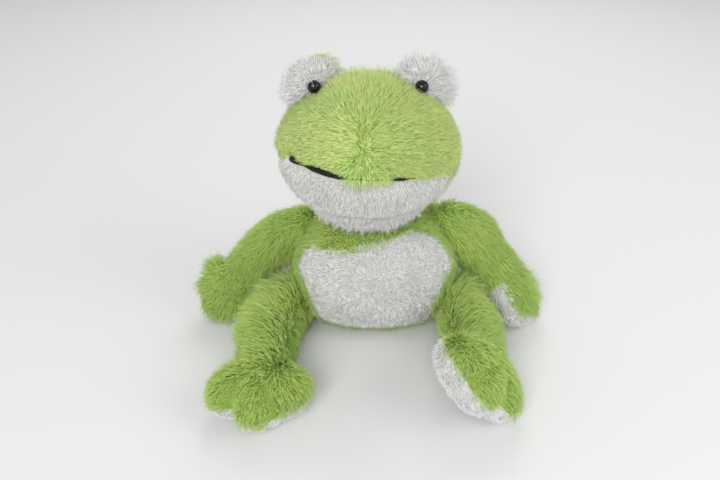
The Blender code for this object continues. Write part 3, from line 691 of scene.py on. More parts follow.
@dataclass
class PileTree:
    """The node tree that grows a pile of strands on a base, with its sizes as named inputs."""

    spacing: float = 0.62  # between roots, as a share of the side of one root's area
    shortest: float = 0.70
    longer_by: float = 0.62
    few_long: float = 3.0
    rise_spread: Zone = (0.75, 1.25)
    steepest: float = 0.95
    width_spread: Zone = (0.75, 1.2)
    pull_spread: Zone = (0.35, 1.15)
    tufts: tuple = (45.0, 1.0, (0.5, 0.4, 0.4))  # per metre, detail and weights of the lengths' noise
    patches: tuple = (38.0, 2.0, (1.1, 0.6, 0.5))  # the same for the shades' noise
    sway_per_metre: float = 70.0
    lock_per_metre: float = 170.0
    lock_sway: float = 1.6
    gathered: float = 0.85
    knee_out: float = 0.30
    knee_along: float = 0.22
    lock_shade: float = 0.40
    own_shade: Zone = (0.34, 0.66)
    shade_range: Zone = (0.03, 0.97)
    tip_clearance: float = 0.0004
    map_height: float = 0.95
    map_width: Zone = (0.012, 0.02)

    def __post_init__(self) -> None:
        """Builds the tree."""
        self.tree = bpy.data.node_groups.new("pile", "GeometryNodeTree")
        sizes = (
            "Length", "Half Width", "Strands per Area", "Rise", "Sway", "Locks per Area", "Pull", "Curl",
            "Curls per Metre", "Fray", "Floor",
        )
        kinds = {"Geometry": "Geometry", **dict.fromkeys(sizes, "Float")}
        kinds |= {"Segments": "Int", "Seed": "Int", "Material": "Material"}
        for name, kind in kinds.items():
            self.tree.interface.new_socket(name, in_out="INPUT", socket_type="NodeSocket" + kind)
        self.tree.interface.new_socket("Geometry", in_out="OUTPUT", socket_type="NodeSocketGeometry")
        self.wires = Wires(self.tree)
        inputs = self.tree.nodes.new("NodeGroupInput").outputs
        self.given = {name: Flow(self.wires, inputs[name]) for name in kinds}
        self.place = Flow(self.wires, self.wires.add("GeometryNodeInputPosition").outputs[0], True)
        self._grow()

    def _field(self, name: str, vector: bool = False) -> Flow:
        """An attribute's value wherever it is read."""
        kind = "FLOAT_VECTOR" if vector else "FLOAT"
        node = self.wires.add("GeometryNodeInputNamedAttribute", {"Name": name}, data_type=kind)
        return Flow(self.wires, node.outputs[0], vector)

    def _store(self, shape: Socket, kind: str = "", domain: str = "POINT", **values: Flow) -> Socket:
        """Stores values on a shape.

        Args:
            shape: The shape.
            kind: Their type, where it isn't a plain number or vector.
            domain: What part of the shape holds them.
            values: What is stored, by the attribute's name.

        Returns:
            The shape with the attributes.
        """
        for name, value in values.items():
            feeds = {"Geometry": shape, "Name": name, "Value": value}
            plain = "FLOAT_VECTOR" if value.vector else "FLOAT"
            settings = {"data_type": kind or plain, "domain": domain}
            shape = self.wires.add("GeometryNodeStoreNamedAttribute", feeds, **settings).outputs[0]
        return shape

    def _random(self, span: Zone, step: int) -> Flow:
        """A number in a span, of its own for each point, on a fixed seed."""
        feeds = {2: span[0], 3: span[1], "Seed": self.given["Seed"] + step}
        return Flow(self.wires, self.wires.add("FunctionNodeRandomValue", feeds).outputs[1])

    def _noise(self, place: Flow, per_metre: object, detail: float = 1.0) -> Flow:
        """A smooth random vector about zero."""
        noise = self.wires.add("ShaderNodeTexNoise", {"Vector": place, "Scale": per_metre, "Detail": detail})
        return Flow(self.wires, noise.outputs["Color"], True) - (0.5, 0.5, 0.5)

    def _lean(self, normal: Flow, per_metre: float, sway: Flow, step: int) -> tuple[Flow, Flow]:
        """Where a strand's tip goes from its root.

        Args:
            normal: The surface's normal.
            per_metre: How finely the comb's direction wanders.
            sway: How far it wanders.
            step: Keeps each use's random numbers apart.

        Returns:
            The way to the tip and the strand's own length.
        """
        given = self.given
        feeds = {0: (-1.0, -1.0, -1.0), 1: (1.0, 1.0, 1.0), "Seed": given["Seed"] + (step + 2)}
        node = self.wires.add("FunctionNodeRandomValue", feeds, data_type="FLOAT_VECTOR")
        stray = Flow(self.wires, node.outputs[0], True) * given["Fray"]
        comb = self._field("comb", True) + (self._noise(self.place, per_metre, 2.0) * sway + stray)
        flat = (comb - normal * (comb @ normal)).by("NORMALIZE")
        longer = self._random((0.0, 1.0), step) ** self.few_long * self.longer_by
        fineness, detail, weights = self.tufts
        tufts = self._noise(self.place, fineness, detail) @ weights
        length = given["Length"] * self._field("reach") * (longer + self.shortest) * (tufts + 1.0)
        rise = given["Rise"] * self._field("stand") * self._random(self.rise_spread, step + 1)
        rise = rise.by("MINIMUM", self.steepest)
        lean = self.wires.math("SUBTRACT", 1.0, rise * rise).by("SQRT")
        return (normal * rise + flat * lean) * length, length

    def _strand(self) -> Socket:
        """One closed three-sided strand, laid flat, that knows how far along it each point is."""
        feeds = {"Vertices": 3, "Side Segments": self.given["Segments"], "Radius Top": 0.0,
                 "Radius Bottom": 1.0, "Depth": 1.0}
        cone = self.wires.add("GeometryNodeMeshCone", feeds, fill_type="NGON")
        x, y, z = self.wires.split(self.place)
        strand = self._store(cone.outputs["Mesh"], along=z, edge=x)
        swell = self._field("along") + 1.0
        return self._moved(strand, self.wires.built(x * swell, y * swell))

    def _moved(self, shape: Socket, place: Flow) -> Socket:
        """A shape with each point in its new place."""
        feeds = {"Geometry": shape, "Position": place}
        return self.wires.add("GeometryNodeSetPosition", feeds).outputs[0]

    def _grow(self) -> None:
        """Wires the tree from the base to the finished pile."""
        wires, given, place = self.wires, self.given, self.place
        feeds = {"Mesh": given["Geometry"], "Density": given["Locks per Area"], "Seed": given["Seed"] + 50}
        locks = wires.add("GeometryNodeDistributePointsOnFaces", feeds)
        way = Flow(wires, locks.outputs["Normal"], True)
        lock_tip, _ = self._lean(way, self.lock_per_metre, given["Sway"] * self.lock_sway, 60)
        whole = (0.0, 1.0)
        lock_points = self._store(
            locks.outputs["Points"], lock_tip=lock_tip, lock_shade=self._random(whole, 70)
        )
        density = given["Strands per Area"]
        feeds = {"Mesh": given["Geometry"], "Density Max": density, "Density Factor": self._field("cover"),
                 "Distance Min": wires.math("DIVIDE", self.spacing, density.by("SQRT")),
                 "Seed": given["Seed"]}
        roots = wires.add("GeometryNodeDistributePointsOnFaces", feeds, distribute_method="POISSON")
        normal = Flow(wires, roots.outputs["Normal"], True)
        own_tip, length = self._lean(normal, self.sway_per_metre, given["Sway"], 80)
        nearest = wires.add("GeometryNodeSampleNearest", {"Geometry": lock_points}).outputs[0]

        def of_lock(value: Flow) -> Flow:
            """What the nearest lock has there.

            Args:
                value: What is read.

            Returns:
                The lock's value.
            """
            found = {"Geometry": lock_points, "Value": value, "Index": nearest}
            kind = "FLOAT_VECTOR" if value.vector else "FLOAT"
            node = wires.add("GeometryNodeSampleIndex", found, data_type=kind)
            return Flow(wires, node.outputs[0], value.vector)

        shared_tip = (of_lock(place) - place) * self.gathered + of_lock(self._field("lock_tip", True))
        pull = given["Pull"] * self._random(self.pull_spread, 90)
        tip = own_tip + (shared_tip - own_tip) * (pull * (length / given["Length"]))
        knee = normal * (length * self.knee_out) + tip * self.knee_along
        fineness, detail, weights = self.patches
        shade = (of_lock(self._field("lock_shade")) - 0.5) * self.lock_shade
        shade = shade + self._noise(place, fineness, detail) @ weights + self._random(self.own_shade, 95)
        shade = shade.by("MAXIMUM", self.shade_range[0]).by("MINIMUM", self.shade_range[1])
        points = self._store(
            roots.outputs["Points"], tip=tip, knee=knee, root=place, shade=shade, strand_length=length
        )
        half_width = given["Half Width"] * self._random(self.width_spread, 97)
        turned = wires.add("FunctionNodeAlignRotationToVector", {"Vector": tip}, axis="Z").outputs[0]
        feeds = {"Points": points, "Instance": self._strand(), "Rotation": turned,
                 "Scale": wires.built(half_width, half_width, 1.0)}
        strands = wires.add("GeometryNodeInstanceOnPoints", feeds).outputs[0]
        pile = wires.add("GeometryNodeRealizeInstances", {"Geometry": strands}).outputs[0]

        along, edge, way = self._field("along"), self._field("edge"), self._field("tip", True)
        squared = along * along
        bend = self._field("knee", True) * ((along - squared) * 2.0) + way * squared
        drift = self._field("root", True) + way * (along * 0.5)
        swing = self._field("strand_length") * given["Curl"] * along
        wave = self._noise(drift, given["Curls per Metre"]) * swing
        x, y, z = wires.split(place + (bend + wave))
        above = z.by("MAXIMUM", given["Floor"] + along * self.tip_clearance)
        pile = self._moved(pile, wires.built(x, y, above))
        across = self._field("shade") + edge * self.map_width[0]
        upward = along * self.map_height + edge.by("ABSOLUTE") * self.map_width[1]
        pile = self._store(pile, "FLOAT2", "CORNER", **{PILE_MAP: wires.built(across, upward)})
        pile = wires.add("GeometryNodeSetShadeSmooth", {"Geometry": pile}).outputs[0]
        feeds = {"Geometry": pile, "Material": given["Material"]}
        wires.add("NodeGroupOutput", {0: wires.add("GeometryNodeSetMaterial", feeds).outputs[0]})

    def grow(
        self, name: str, base: bpy.types.Mesh, pile: Pile, finish: bpy.types.Material, seed: int
    ) -> bpy.types.Object:
        """Grows a pile.

        Args:
            name: The new piece's name.
            base: The mesh that it grows on, with its fields.
            pile: How it is cut and lies.
            finish: Its material.
            seed: Keeps its random numbers apart from other pieces'.

        Returns:
            The piece, as a plain mesh.
        """
        obj = new_object(name, base)
        modifier = obj.modifiers.new("pile", "NODES")
        modifier.node_group = self.tree
        values = {
            "Length": pile.length, "Half Width": pile.width / 2, "Strands per Area": pile.per_area,
            "Rise": pile.rise, "Sway": pile.sway, "Locks per Area": 1 / pile.lock_area, "Pull": pile.pull,
            "Curl": pile.curl, "Curls per Metre": 1 / pile.curl_size, "Fray": pile.fray,
            "Floor": FLOOR_CLEARANCE, "Segments": pile.segments, "Seed": seed, "Material": finish,
        }
        for socket in self.tree.interface.items_tree:
            if socket.item_type == "SOCKET" and socket.name in values:
                modifier[socket.identifier] = values[socket.name]
        mesh = settled(obj, name)
        drop_fields(mesh)
        log.info("%s: %d triangles", name, sum(len(p.vertices) - 2 for p in mesh.polygons))
        return new_object(name, mesh)


# ---- parts of the frog


@dataclass
class Patch:
    """One cloth of a stuffed form: its node, its colour, its pile and how many pieces that is split into."""

    name: str
    node: str
    dye: Dye
    pile: Pile
    seed: int
    pieces: int = 1


@dataclass(kw_only=True)
class Part:
    """A stuffed part that rides on one body, with a main cloth and panels."""

    palette: Palette
    tree: PileTree
    body: str = ""
    inner: tuple[str, ...] = ()
    neighbours: tuple[str, ...] = ()
    tightness: float = 0.8
    proud: float = 0.0003
    panel_depth: float = 0.0025
    off_floor: Zone = (0.0012, 0.004)
    under_share: float = 0.12
    front_way: Place = (0.0, -0.866, 0.5)  # the pile is flattest where it faces this way
    faces_front: Zone = (0.45, 0.95)
    steepened: float = 1.12
    pressed_by: float = 0.5
    buried: float = 0.0015
    form: StuffedForm = field(init=False)
    patches: list[Patch] = field(init=False)

    def comb(self, at: Array, patch: Patch) -> Array:
        """Which way the pile is combed at each point."""
        raise NotImplementedError

    def reach(self, at: Array, patch: Patch) -> Array:
        """How long the pile is at each point, as a share of its length."""
        return np.ones(len(at))

    def stand(self, at: Array, patch: Patch) -> Array:
        """How steeply the pile stands at each point, as a share of its rise."""
        return np.ones(len(at))

    def cover(self, at: Array, patch: Patch) -> Array:
        """How thickly the pile grows at each point, from 0 to 1."""
        return np.ones(len(at))

    def shift(self, at: Array) -> Array:
        """Where the cloth at each point is looked up, measured from the point."""
        return np.zeros_like(at)

    def build(self, mesh: bpy.types.Mesh) -> None:
        """Cuts the filled form into its cloths and grows their piles.

        Args:
            mesh: The filled form.
        """
        at = places(mesh)
        trees = [tree_of(patch.node) for patch in self.patches]
        gaps = np.array([[tree.find_nearest(Vector(point))[3] for point in at] for tree in trees])
        nearest = gaps.argmin(0)[self._looked_up(at)]
        clear = self.under_share + (1 - self.under_share) * ease(at[:, 2], self.off_floor)
        shows = ~self._hidden(at) * clear
        front = ease(normals_of(mesh) @ np.array(self.front_way), self.faces_front)
        pressed = self.steepened - self.pressed_by * front
        for index, patch in enumerate(self.patches):
            base = mesh.copy()
            set_field(base, "comb", unit(self.comb(at, patch)))
            set_field(base, "reach", self.reach(at, patch))
            set_field(base, "stand", self.stand(at, patch) * pressed)
            set_field(base, "cover", self.cover(at, patch) * shows)
            mine = nearest == index
            delete_faces(base, np.array([sum(mine[v] for v in f.vertices) < 2 for f in base.polygons]))
            self._pile(base, patch)
            skin = self._panel(patch, base) if index else new_object(patch.name, mesh.copy())
            skin.data.name = patch.name
            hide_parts(patch.node, *(() if index else self.inner))
            drop_fields(skin.data)
            skin.data.materials.clear()
            skin.data.materials.append(self.palette.backings[patch.dye])
            skin.data.shade_smooth()
            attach(skin, self.body)
            log.info("%s: %d faces on %s", patch.name, len(skin.data.polygons), self.body)

    def _looked_up(self, at: Array) -> Array:
        """The vertex nearest to where each vertex looks up its cloth."""
        away = self.shift(at)
        found = np.arange(len(at))
        near = KDTree(len(at))
        for index, point in enumerate(at):
            near.insert(point, index)
        near.balance()
        for index in np.nonzero(np.abs(away).any(1))[0]:
            found[index] = near.find(at[index] + away[index])[1]
        return found

    def _pile(self, base: bpy.types.Mesh, patch: Patch) -> None:
        """Grows a cloth's pile in one or more pieces, from front to back.

        Args:
            base: The cloth's part of the form, with its fields.
            patch: The cloth.
        """
        middle = np.array([face.center.y for face in base.polygons])
        bounds = np.quantile(middle, np.linspace(0, 1, patch.pieces + 1))
        for index in range(patch.pieces):
            piece = base.copy()
            if patch.pieces > 1:
                last = index == patch.pieces - 1
                inside = (middle >= bounds[index]) & ((middle < bounds[index + 1]) | last)
                delete_faces(piece, ~inside)
            name = patch.name + "_pile" + (f"_{index + 1}" if patch.pieces > 1 else "")
            strands = self.palette.strands[patch.dye]
            pile = self.tree.grow(name, piece, patch.pile, strands, patch.seed + index)
            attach(pile, self.body)

    def _hidden(self, at: Array) -> Array:
        """Which points lie inside neighbouring forms."""
        inside = np.zeros(len(at), bool)
        for node in [name for name in NODES if self.neighbours and name.startswith(self.neighbours)]:
            tree = tree_of(node)
            low, high = (np.array(corner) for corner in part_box(node))
            for index in np.nonzero(((at > low) & (at < high)).all(1))[0]:
                spot, normal, _, gap = tree.find_nearest(Vector(at[index]))
                inside[index] |= gap > self.buried and (Vector(at[index]) - spot).dot(normal) < 0
        return inside

    def _panel(self, patch: Patch, base: bpy.types.Mesh) -> bpy.types.Object:
        """A panel's cloth as a closed shell, just proud of the form.

        Args:
            patch: The panel's cloth.
            base: Its part of the form.

        Returns:
            The panel.
        """
        obj = new_object(patch.name + "_cloth", base)
        wall = obj.modifiers.new("wall", "SOLIDIFY")
        wall.thickness = self.panel_depth
        wall.offset = -1 + 2 * self.proud / self.panel_depth
        return new_object(patch.name, raised(settled(obj, patch.name)))


@dataclass(kw_only=True)
class Torso(Part):
    """The body of the frog with the white patch on its belly."""

    body: str = "torso"
    inner: tuple[str, ...] = ("torso_stuffing", "pellet_pouch")
    neighbours: tuple[str, ...] = ("arm_skin", "leg_skin", "head_skin", "lower_jaw")
    rise_at: tuple[float, ...] = (-0.045, -0.025, 0.010, 0.032, 0.050, 0.064, 0.070)
    rise_by: tuple[float, ...] = (0.0, 0.0055, 0.0065, 0.0170, 0.0160, 0.0040, 0.0)
    upper: Zone = (0.060, 0.075)
    lower: Zone = (0.015, 0.040)
    rim: float = 0.0085
    side_by: float = 0.005
    side_at: Zone = (-0.045, -0.030)
    side_heights: Zone = (0.025, 0.045)
    aside: Zone = (0.01, 0.05)
    in_front: Zone = (0.0, 0.04)
    below_top: Zone = (-0.03, -0.01)
    inward: float = 1.4
    outward: float = 2.5
    belly_down: float = 0.35
    shoulder_heights: Zone = (-0.040, -0.024)
    shoulder_aside: Zone = (0.035, 0.052)
    chin_heights: Zone = (-0.026, -0.010)
    chin_half_width: float = 0.06
    chin_behind: float = 0.01
    chin_cut: float = 0.25
    white_chin_cut: float = 0.2
    seat_heights: Zone = (0.012, 0.026)
    seat_cut: float = 0.45
    shoulder_longer: float = 0.25

    def __post_init__(self) -> None:
        """Sets its form and its cloths."""
        self.form = StuffedForm("torso_form", ("torso_skin", "torso_stuffing", "belly_panel"))
        self.patches = [
            Patch("torso_plush", "torso_skin", Dye.BODY, LONG, 100, 2),
            Patch("belly_plush", "belly_panel", Dye.WHITE, MATTED, 110),
        ]
        self.middle = middle_of("torso_skin")
        self.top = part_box("torso_skin")[1].z

    def shift(self, at: Array) -> Array:
        """The white patch lies higher than its node, and further out on the frog's right."""
        away = np.zeros_like(at)
        high = ease(at[:, 2], self.upper) * np.interp(at[:, 0], self.rise_at, self.rise_by)
        low = self.rim * (1 - ease(at[:, 2], self.lower))
        away[:, 2] = -np.maximum(high, low)
        away[:, 0] = self.side_by * (1 - ease(at[:, 0], self.side_at)) * ease(at[:, 2], self.side_heights)
        return away

    def comb(self, at: Array, patch: Patch) -> Array:
        """Down the back and sides, in towards the belly in front, and out from the belly's middle."""
        if patch.dye is Dye.WHITE:
            return unit(at - middle_of("belly_panel")) - (0, 0, self.belly_down)
        way = np.zeros_like(at)
        way[:, 2] = -1
        side = at[:, 0] - self.middle[0]
        side = np.sign(side) * ease(np.abs(side), self.aside)
        front = ease(self.middle[1] - at[:, 1], self.in_front)
        way[:, 0] = -side * self.inward * front * (1 - ease(at[:, 2] - self.top, self.below_top))
        way[:, 0] += side * self.outward * self._shoulder(at)
        return way

    def _shoulder(self, at: Array) -> Array:
        """How near each point is to the seam of an arm, from 0 to 1."""
        aside = ease(np.abs(at[:, 0] - self.middle[0]), self.shoulder_aside)
        return ease(at[:, 2] - self.top, self.shoulder_heights) * aside

    def reach(self, at: Array, patch: Patch) -> Array:
        """Shorter under the chin and the seat, and longer at the shoulders."""
        chin = ease(at[:, 2] - self.top, self.chin_heights) * (np.abs(at[:, 0]) < self.chin_half_width)
        chin *= at[:, 1] < self.middle[1] + self.chin_behind
        if patch.dye is Dye.WHITE:
            seat = self.seat_cut * (1 - ease(at[:, 2], self.seat_heights))
            return (1 - self.white_chin_cut * chin) * (1 - seat)
        return 1 - self.chin_cut * chin + self.shoulder_longer * self._shoulder(at)


@dataclass(kw_only=True)
class Neck(Part):
    """The short neck between the torso and the head."""

    body: str = "neck"
    inner: tuple[str, ...] = ("neck_stuffing",)
    voxel: float = 0.0035
    band: Zone = (0.010, 0.014)

    def __post_init__(self) -> None:
        """Sets its form and its cloth."""
        self.form = StuffedForm("neck_form", ("neck_skin", "neck_stuffing"), self.voxel)
        self.patches = [Patch("neck_plush", "neck_skin", Dye.BODY, SHORT, 200)]

    def comb(self, at: Array, patch: Patch) -> Array:
        """Down."""
        return np.tile((0.0, 0.0, -1.0), (len(at), 1))

    def cover(self, at: Array, patch: Patch) -> Array:
        """Only round the band that shows between head and torso."""
        return 1 - ease(np.abs(at[:, 2] - middle_of("neck_skin")[2]), self.band)


@dataclass(kw_only=True)
class Head(Part):
    """The wide head with its white lower jaw and the black lining in the mouth."""

    body: str = "head"
    inner: tuple[str, ...] = ("head_stuffing",)
    neighbours: tuple[str, ...] = ("eye_front", "eye_back", "torso_skin")
    behind_mouth: float = 0.070
    height: float = 0.184
    parting: tuple = ((-0.007, -0.055, 0.041), (-0.005, -0.067, 0.021))  # from the head's middle
    part_ruffle: Zone = (0.003, 0.018)
    part_flat: Zone = (0.002, 0.024)
    part_flatter: float = 0.4
    ruffle: float = 0.9
    ruffle_seed: int = 7
    line_points: int = 61
    line_ends: float = 0.03
    line_slice: float = 0.07
    line_skin: float = 0.0015
    past_right: Zone = (56, 84)
    past_left: Zone = (50, 84)
    hang: PerSide = (0.014, 0.007)
    hang_until: float = 0.01  # behind the head's middle, as the next two
    crease_until: float = -0.01
    back_from: Zone = (-0.01, 0.045)
    low_comb: Zone = (-0.004, 0.012)
    low_down: float = 1.6
    jaw_spread: Place = (7, 5, 0)
    jaw_least: float = 0.6
    jaw_rows: Zone = (0.001, 0.012)
    chin: Zone = (-0.060, -0.046)
    chin_longer: float = 1.05
    chin_steeper: float = 0.6
    fold_height: float = -0.041
    fold_width: float = 0.0050
    fold_cut: float = 0.70
    crease_height: float = -0.0445
    crease_width: float = 0.0023
    crease_bare: float = 0.92
    crease_wave: float = 0.0012
    crease_waves: float = 9
    lip: Zone = (0.003, 0.014)
    under_height: float = 0.02
    under_cut: float = 0.4
    behind_jaw: Zone = (-0.012, 0.004)
    behind_deg: Zone = (60, 80)
    behind_cut: float = 0.55
    crown_heights: Zone = (-0.022, -0.004)
    crown_aside: Zone = (0.025, 0.045)
    crown_longer: float = 0.3
    crown_steeper: float = 0.5
    fringe_deg: tuple = (-90, -70, -64, -54, -49, -44, -38, -20, -12, 11, 15, 25, 30, 45, 75)
    fringe_shares: tuple = (1, 0.6, 0.1, 0.2, 0.8, 0.7, 0.4, 0.45, 1.25, 1.25, 0.5, 0.5, 1.0, 0.9, 1)
    strip_deg: Zone = (-65.0, 44.0)  # where the lining shows, from the frog's right to its left
    open_deg: tuple = (-66, -60, -53, -49, -44, -38, -18, -12, 14, 17, 23, 27, 44)
    open_by: tuple = (
        0.0018, 0.0027, 0.0026, 0.0008, 0.0011, 0.0024, 0.0020, 0.0002, 0.0002, 0.0012, 0.0013, 0.0002, 0.0002,
    )
    strip_bare: Zone = (0.0, 0.0015)
    strip_sides: int = 10
    strip_ends: Zone = (0.35, 1.2)
    strip_thin: float = 0.0004
    strip_proud: float = 0.0016
    strip_proudest: float = 0.0042
    strip_sunk: float = 0.0012
    strip_drop: float = 0.0012
    strip_drop_deg: Zone = (46, 52)

    def __post_init__(self) -> None:
        """Sets its form and cloths, and finds the parting on the nose and the mouth's line."""
        self.form = StuffedForm("head_form", ("head_skin", "head_stuffing", "lower_jaw", "mouth_lining"))
        self.patches = [
            Patch("head_plush", "head_skin", Dye.FACE, FACE, 300, 3),
            Patch("jaw_plush", "lower_jaw", Dye.WHITE, SHORT, 310),
        ]
        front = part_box("mouth_lining")[0].y
        self.low, self.top = (corner.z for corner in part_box("head_skin"))
        self.middle = np.array((middle_of("head_skin")[0], front + self.behind_mouth, self.height))
        self.mouth = self._mouth_line()

    def _turn(self, at: Array) -> Array:
        """How far round the face each point is: 0 in front, more towards the frog's left."""
        return np.arctan2(at[:, 0] - self.middle[0], self.middle[1] - at[:, 1])

    def _mouth_line(self) -> Array:
        """The mouth's line round the face, from the frog's right to its left."""
        at = places(NODES["mouth_lining"].data)
        turn = self._turn(at)
        out = np.linalg.norm((at - self.middle)[:, :2], axis=1)
        line = []
        for way in np.linspace(turn.min() + self.line_ends, turn.max() - self.line_ends, self.line_points):
            near = np.abs(turn - way) < self.line_slice
            radius = out[near].max()
            height = at[near & (out > radius - self.line_skin), 2].mean() - self.middle[2]
            line.append((radius * math.sin(way), -radius * math.cos(way), height))
        return np.array(line) + self.middle

    def _above_mouth(self, at: Array) -> Array:
        """How far above the mouth's line each point is."""
        return at[:, 2] - np.interp(self._turn(at), self._turn(self.mouth), self.mouth[:, 2])

    def _past(self, at: Array) -> tuple[Array, Array]:
        """How far each point is past the mouth's right and left ends, from 0 to 1."""
        turn = np.degrees(self._turn(at))
        return ease(-turn, self.past_right), ease(turn, self.past_left)

    def shift(self, at: Array) -> Array:
        """Past both ends of the mouth the green hangs lower than its node."""
        right, left = self._past(at)
        away = np.zeros_like(at)
        away[:, 2] = self.hang[0] * right + self.hang[1] * left
        away[:, 2] *= at[:, 1] < self.middle[1] + self.hang_until
        return away

    def comb(self, at: Array, patch: Patch) -> Array:
        """Out from the parting over the face, and down at the back and on the jaw."""
        spot, gap = self._from_parting(at)
        ruffled = np.random.default_rng(self.ruffle_seed).normal(size=at.shape)
        spread = unit(at - spot) + ruffled * self.ruffle * (1 - ease(gap, self.part_ruffle))[:, None]
        down = np.array((0.0, 0.0, -1.0))
        if patch.dye is Dye.WHITE:
            return down + (at - self.middle) * self.jaw_spread
        back = ease(at[:, 1] - self.middle[1], self.back_from)[:, None]
        low = (1 - ease(self._above_mouth(at), self.low_comb)) * np.maximum(*self._past(at))
        return spread * (1 - back) + down * (back + self.low_down * low[:, None])

    def _to_mouth(self, at: Array) -> Array:
        """How far each point is from the mouth's line."""
        return np.min(np.linalg.norm(at[:, None] - self.mouth[None], axis=2), axis=1)

    def reach(self, at: Array, patch: Patch) -> Array:
        """Short along the mouth except under the nose, and short behind the jaw."""
        gap = self._to_mouth(at)
        if patch.dye is Dye.WHITE:
            fold = hump(at[:, 2] - self.middle[2] - self.fold_height, self.fold_width)
            rows = self.jaw_least + (1 - self.jaw_least) * ease(gap, self.jaw_rows)
            return rows + self.chin_longer * self._chin(at) - self.fold_cut * fold
        turn = np.degrees(self._turn(at))
        kept = np.interp(turn, self.fringe_deg, self.fringe_shares)
        lip = kept + (1 - kept) * ease(gap, self.lip)
        under = 1 - self.under_cut * (1 - ease(at[:, 2] - self.low, (0.0, self.under_height)))
        under += self.crown_longer * self._crown(at)
        behind = (1 - ease(self._above_mouth(at), self.behind_jaw)) * ease(-turn, self.behind_deg)
        return lip * under * (1 - self.behind_cut * behind)

    def _chin(self, at: Array) -> Array:
        """How far each point is below the fold of the chin, from 0 to 1."""
        return 1 - ease(at[:, 2] - self.middle[2], self.chin)

    def stand(self, at: Array, patch: Patch) -> Array:
        """Flatter along the parting, so that it closes, and steeper under the chin and on the crown."""
        if patch.dye is Dye.WHITE:
            return 1 + self.chin_steeper * self._chin(at)
        flat = self.part_flatter * (1 - ease(self._from_parting(at)[1], self.part_flat))
        return 1 - flat + self.crown_steeper * self._crown(at)

    def _crown(self, at: Array) -> Array:
        """How near each point is to the top of the head between the eyes, from 0 to 1."""
        aside = ease(np.abs(at[:, 0] - self.middle[0]), self.crown_aside)
        return ease(at[:, 2] - self.top, self.crown_heights) * (1 - aside)

    def _from_parting(self, at: Array) -> tuple[Array, Array]:
        """The nearest place on the parting's line to each point, and how far it is."""
        start, end = np.array(self.parting) + self.middle
        share = np.clip((at - start) @ (end - start) / np.dot(end - start, end - start), 0, 1)
        spot = start + share[:, None] * (end - start)
        return spot, away_from(at, spot)

    def cover(self, at: Array, patch: Patch) -> Array:
        """None on the lining where it shows, and thin in the crease of the chin."""
        turn = np.degrees(self._turn(at))
        shows = (turn > self.strip_deg[0]) & (turn < self.strip_deg[1])
        past = self._to_mouth(at) - np.interp(turn, self.open_deg, self.open_by)
        grown = np.where(shows, ease(past, self.strip_bare), 1.0)
        if patch.dye is Dye.WHITE:
            wave = self.crease_wave * np.sin(self.crease_waves * self._turn(at))
            crease = hump(at[:, 2] - self.middle[2] - self.crease_height + wave, self.crease_width)
            grown *= 1 - self.crease_bare * crease * (at[:, 1] < self.middle[1] + self.crease_until)
        return grown

    def build(self, mesh: bpy.types.Mesh) -> None:
        """Builds the head and its lining.

        Args:
            mesh: The filled form.
        """
        super().build(mesh)
        self._lining()

    def _lining(self) -> None:
        """A soft strip of black cloth along the mouth."""
        turn = np.degrees(self._turn(self.mouth))
        inside = (turn > self.strip_deg[0]) & (turn < self.strip_deg[1])
        line, turn = self.mouth[inside], turn[inside]
        rings, sides = len(line), self.strip_sides
        index = np.arange(rings)
        along = unit(line[np.minimum(index + 1, rings - 1)] - line[np.maximum(index - 1, 0)])
        out = (line - self.middle) * (1, 1, 0)
        out = unit(out - along * (out * along).sum(1, keepdims=True))
        up = np.cross(out, along)
        least, growth = self.strip_ends
        fat = np.sqrt(np.minimum(1, least + np.minimum(index, rings - 1 - index) / growth))
        tall = (self.strip_thin + np.interp(turn, self.open_deg, self.open_by)) * fat
        proud = np.minimum(self.strip_proudest, self.strip_proud + tall) * fat
        start, end = self.strip_drop_deg
        line[:, 2] -= self.strip_drop * np.clip((-turn - start) / (end - start), 0, 1)
        angle = 2 * math.pi * np.arange(sides) / sides
        outward = np.outer(proud, np.cos(angle)) - self.strip_sunk
        upward = np.outer(tall, np.sin(angle))
        spots = line[:, None] + out[:, None] * outward[..., None] + up[:, None] * upward[..., None]
        faces = [tuple(range(sides)), tuple(range(rings * sides - 1, (rings - 1) * sides - 1, -1))]
        for first in range(0, (rings - 1) * sides, sides):
            for side in range(sides):
                here, after = first + side, first + (side + 1) % sides
                faces.append((here, here + sides, after + sides, after))
        mesh = bpy.data.meshes.new("mouth_cloth")
        mesh.from_pydata(spots.reshape(-1, 3).tolist(), [], faces)
        obj = new_object("mouth_strip", mesh)
        refine(obj, 2)
        strip = new_object("mouth_cloth", settled(obj, "mouth_cloth"))
        strip.data.materials.append(self.palette.lining)
        strip.data.shade_smooth()
        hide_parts("mouth_lining")
        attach(strip, self.body)
        log.info("mouth_cloth: %d faces on %s", len(strip.data.polygons), self.body)


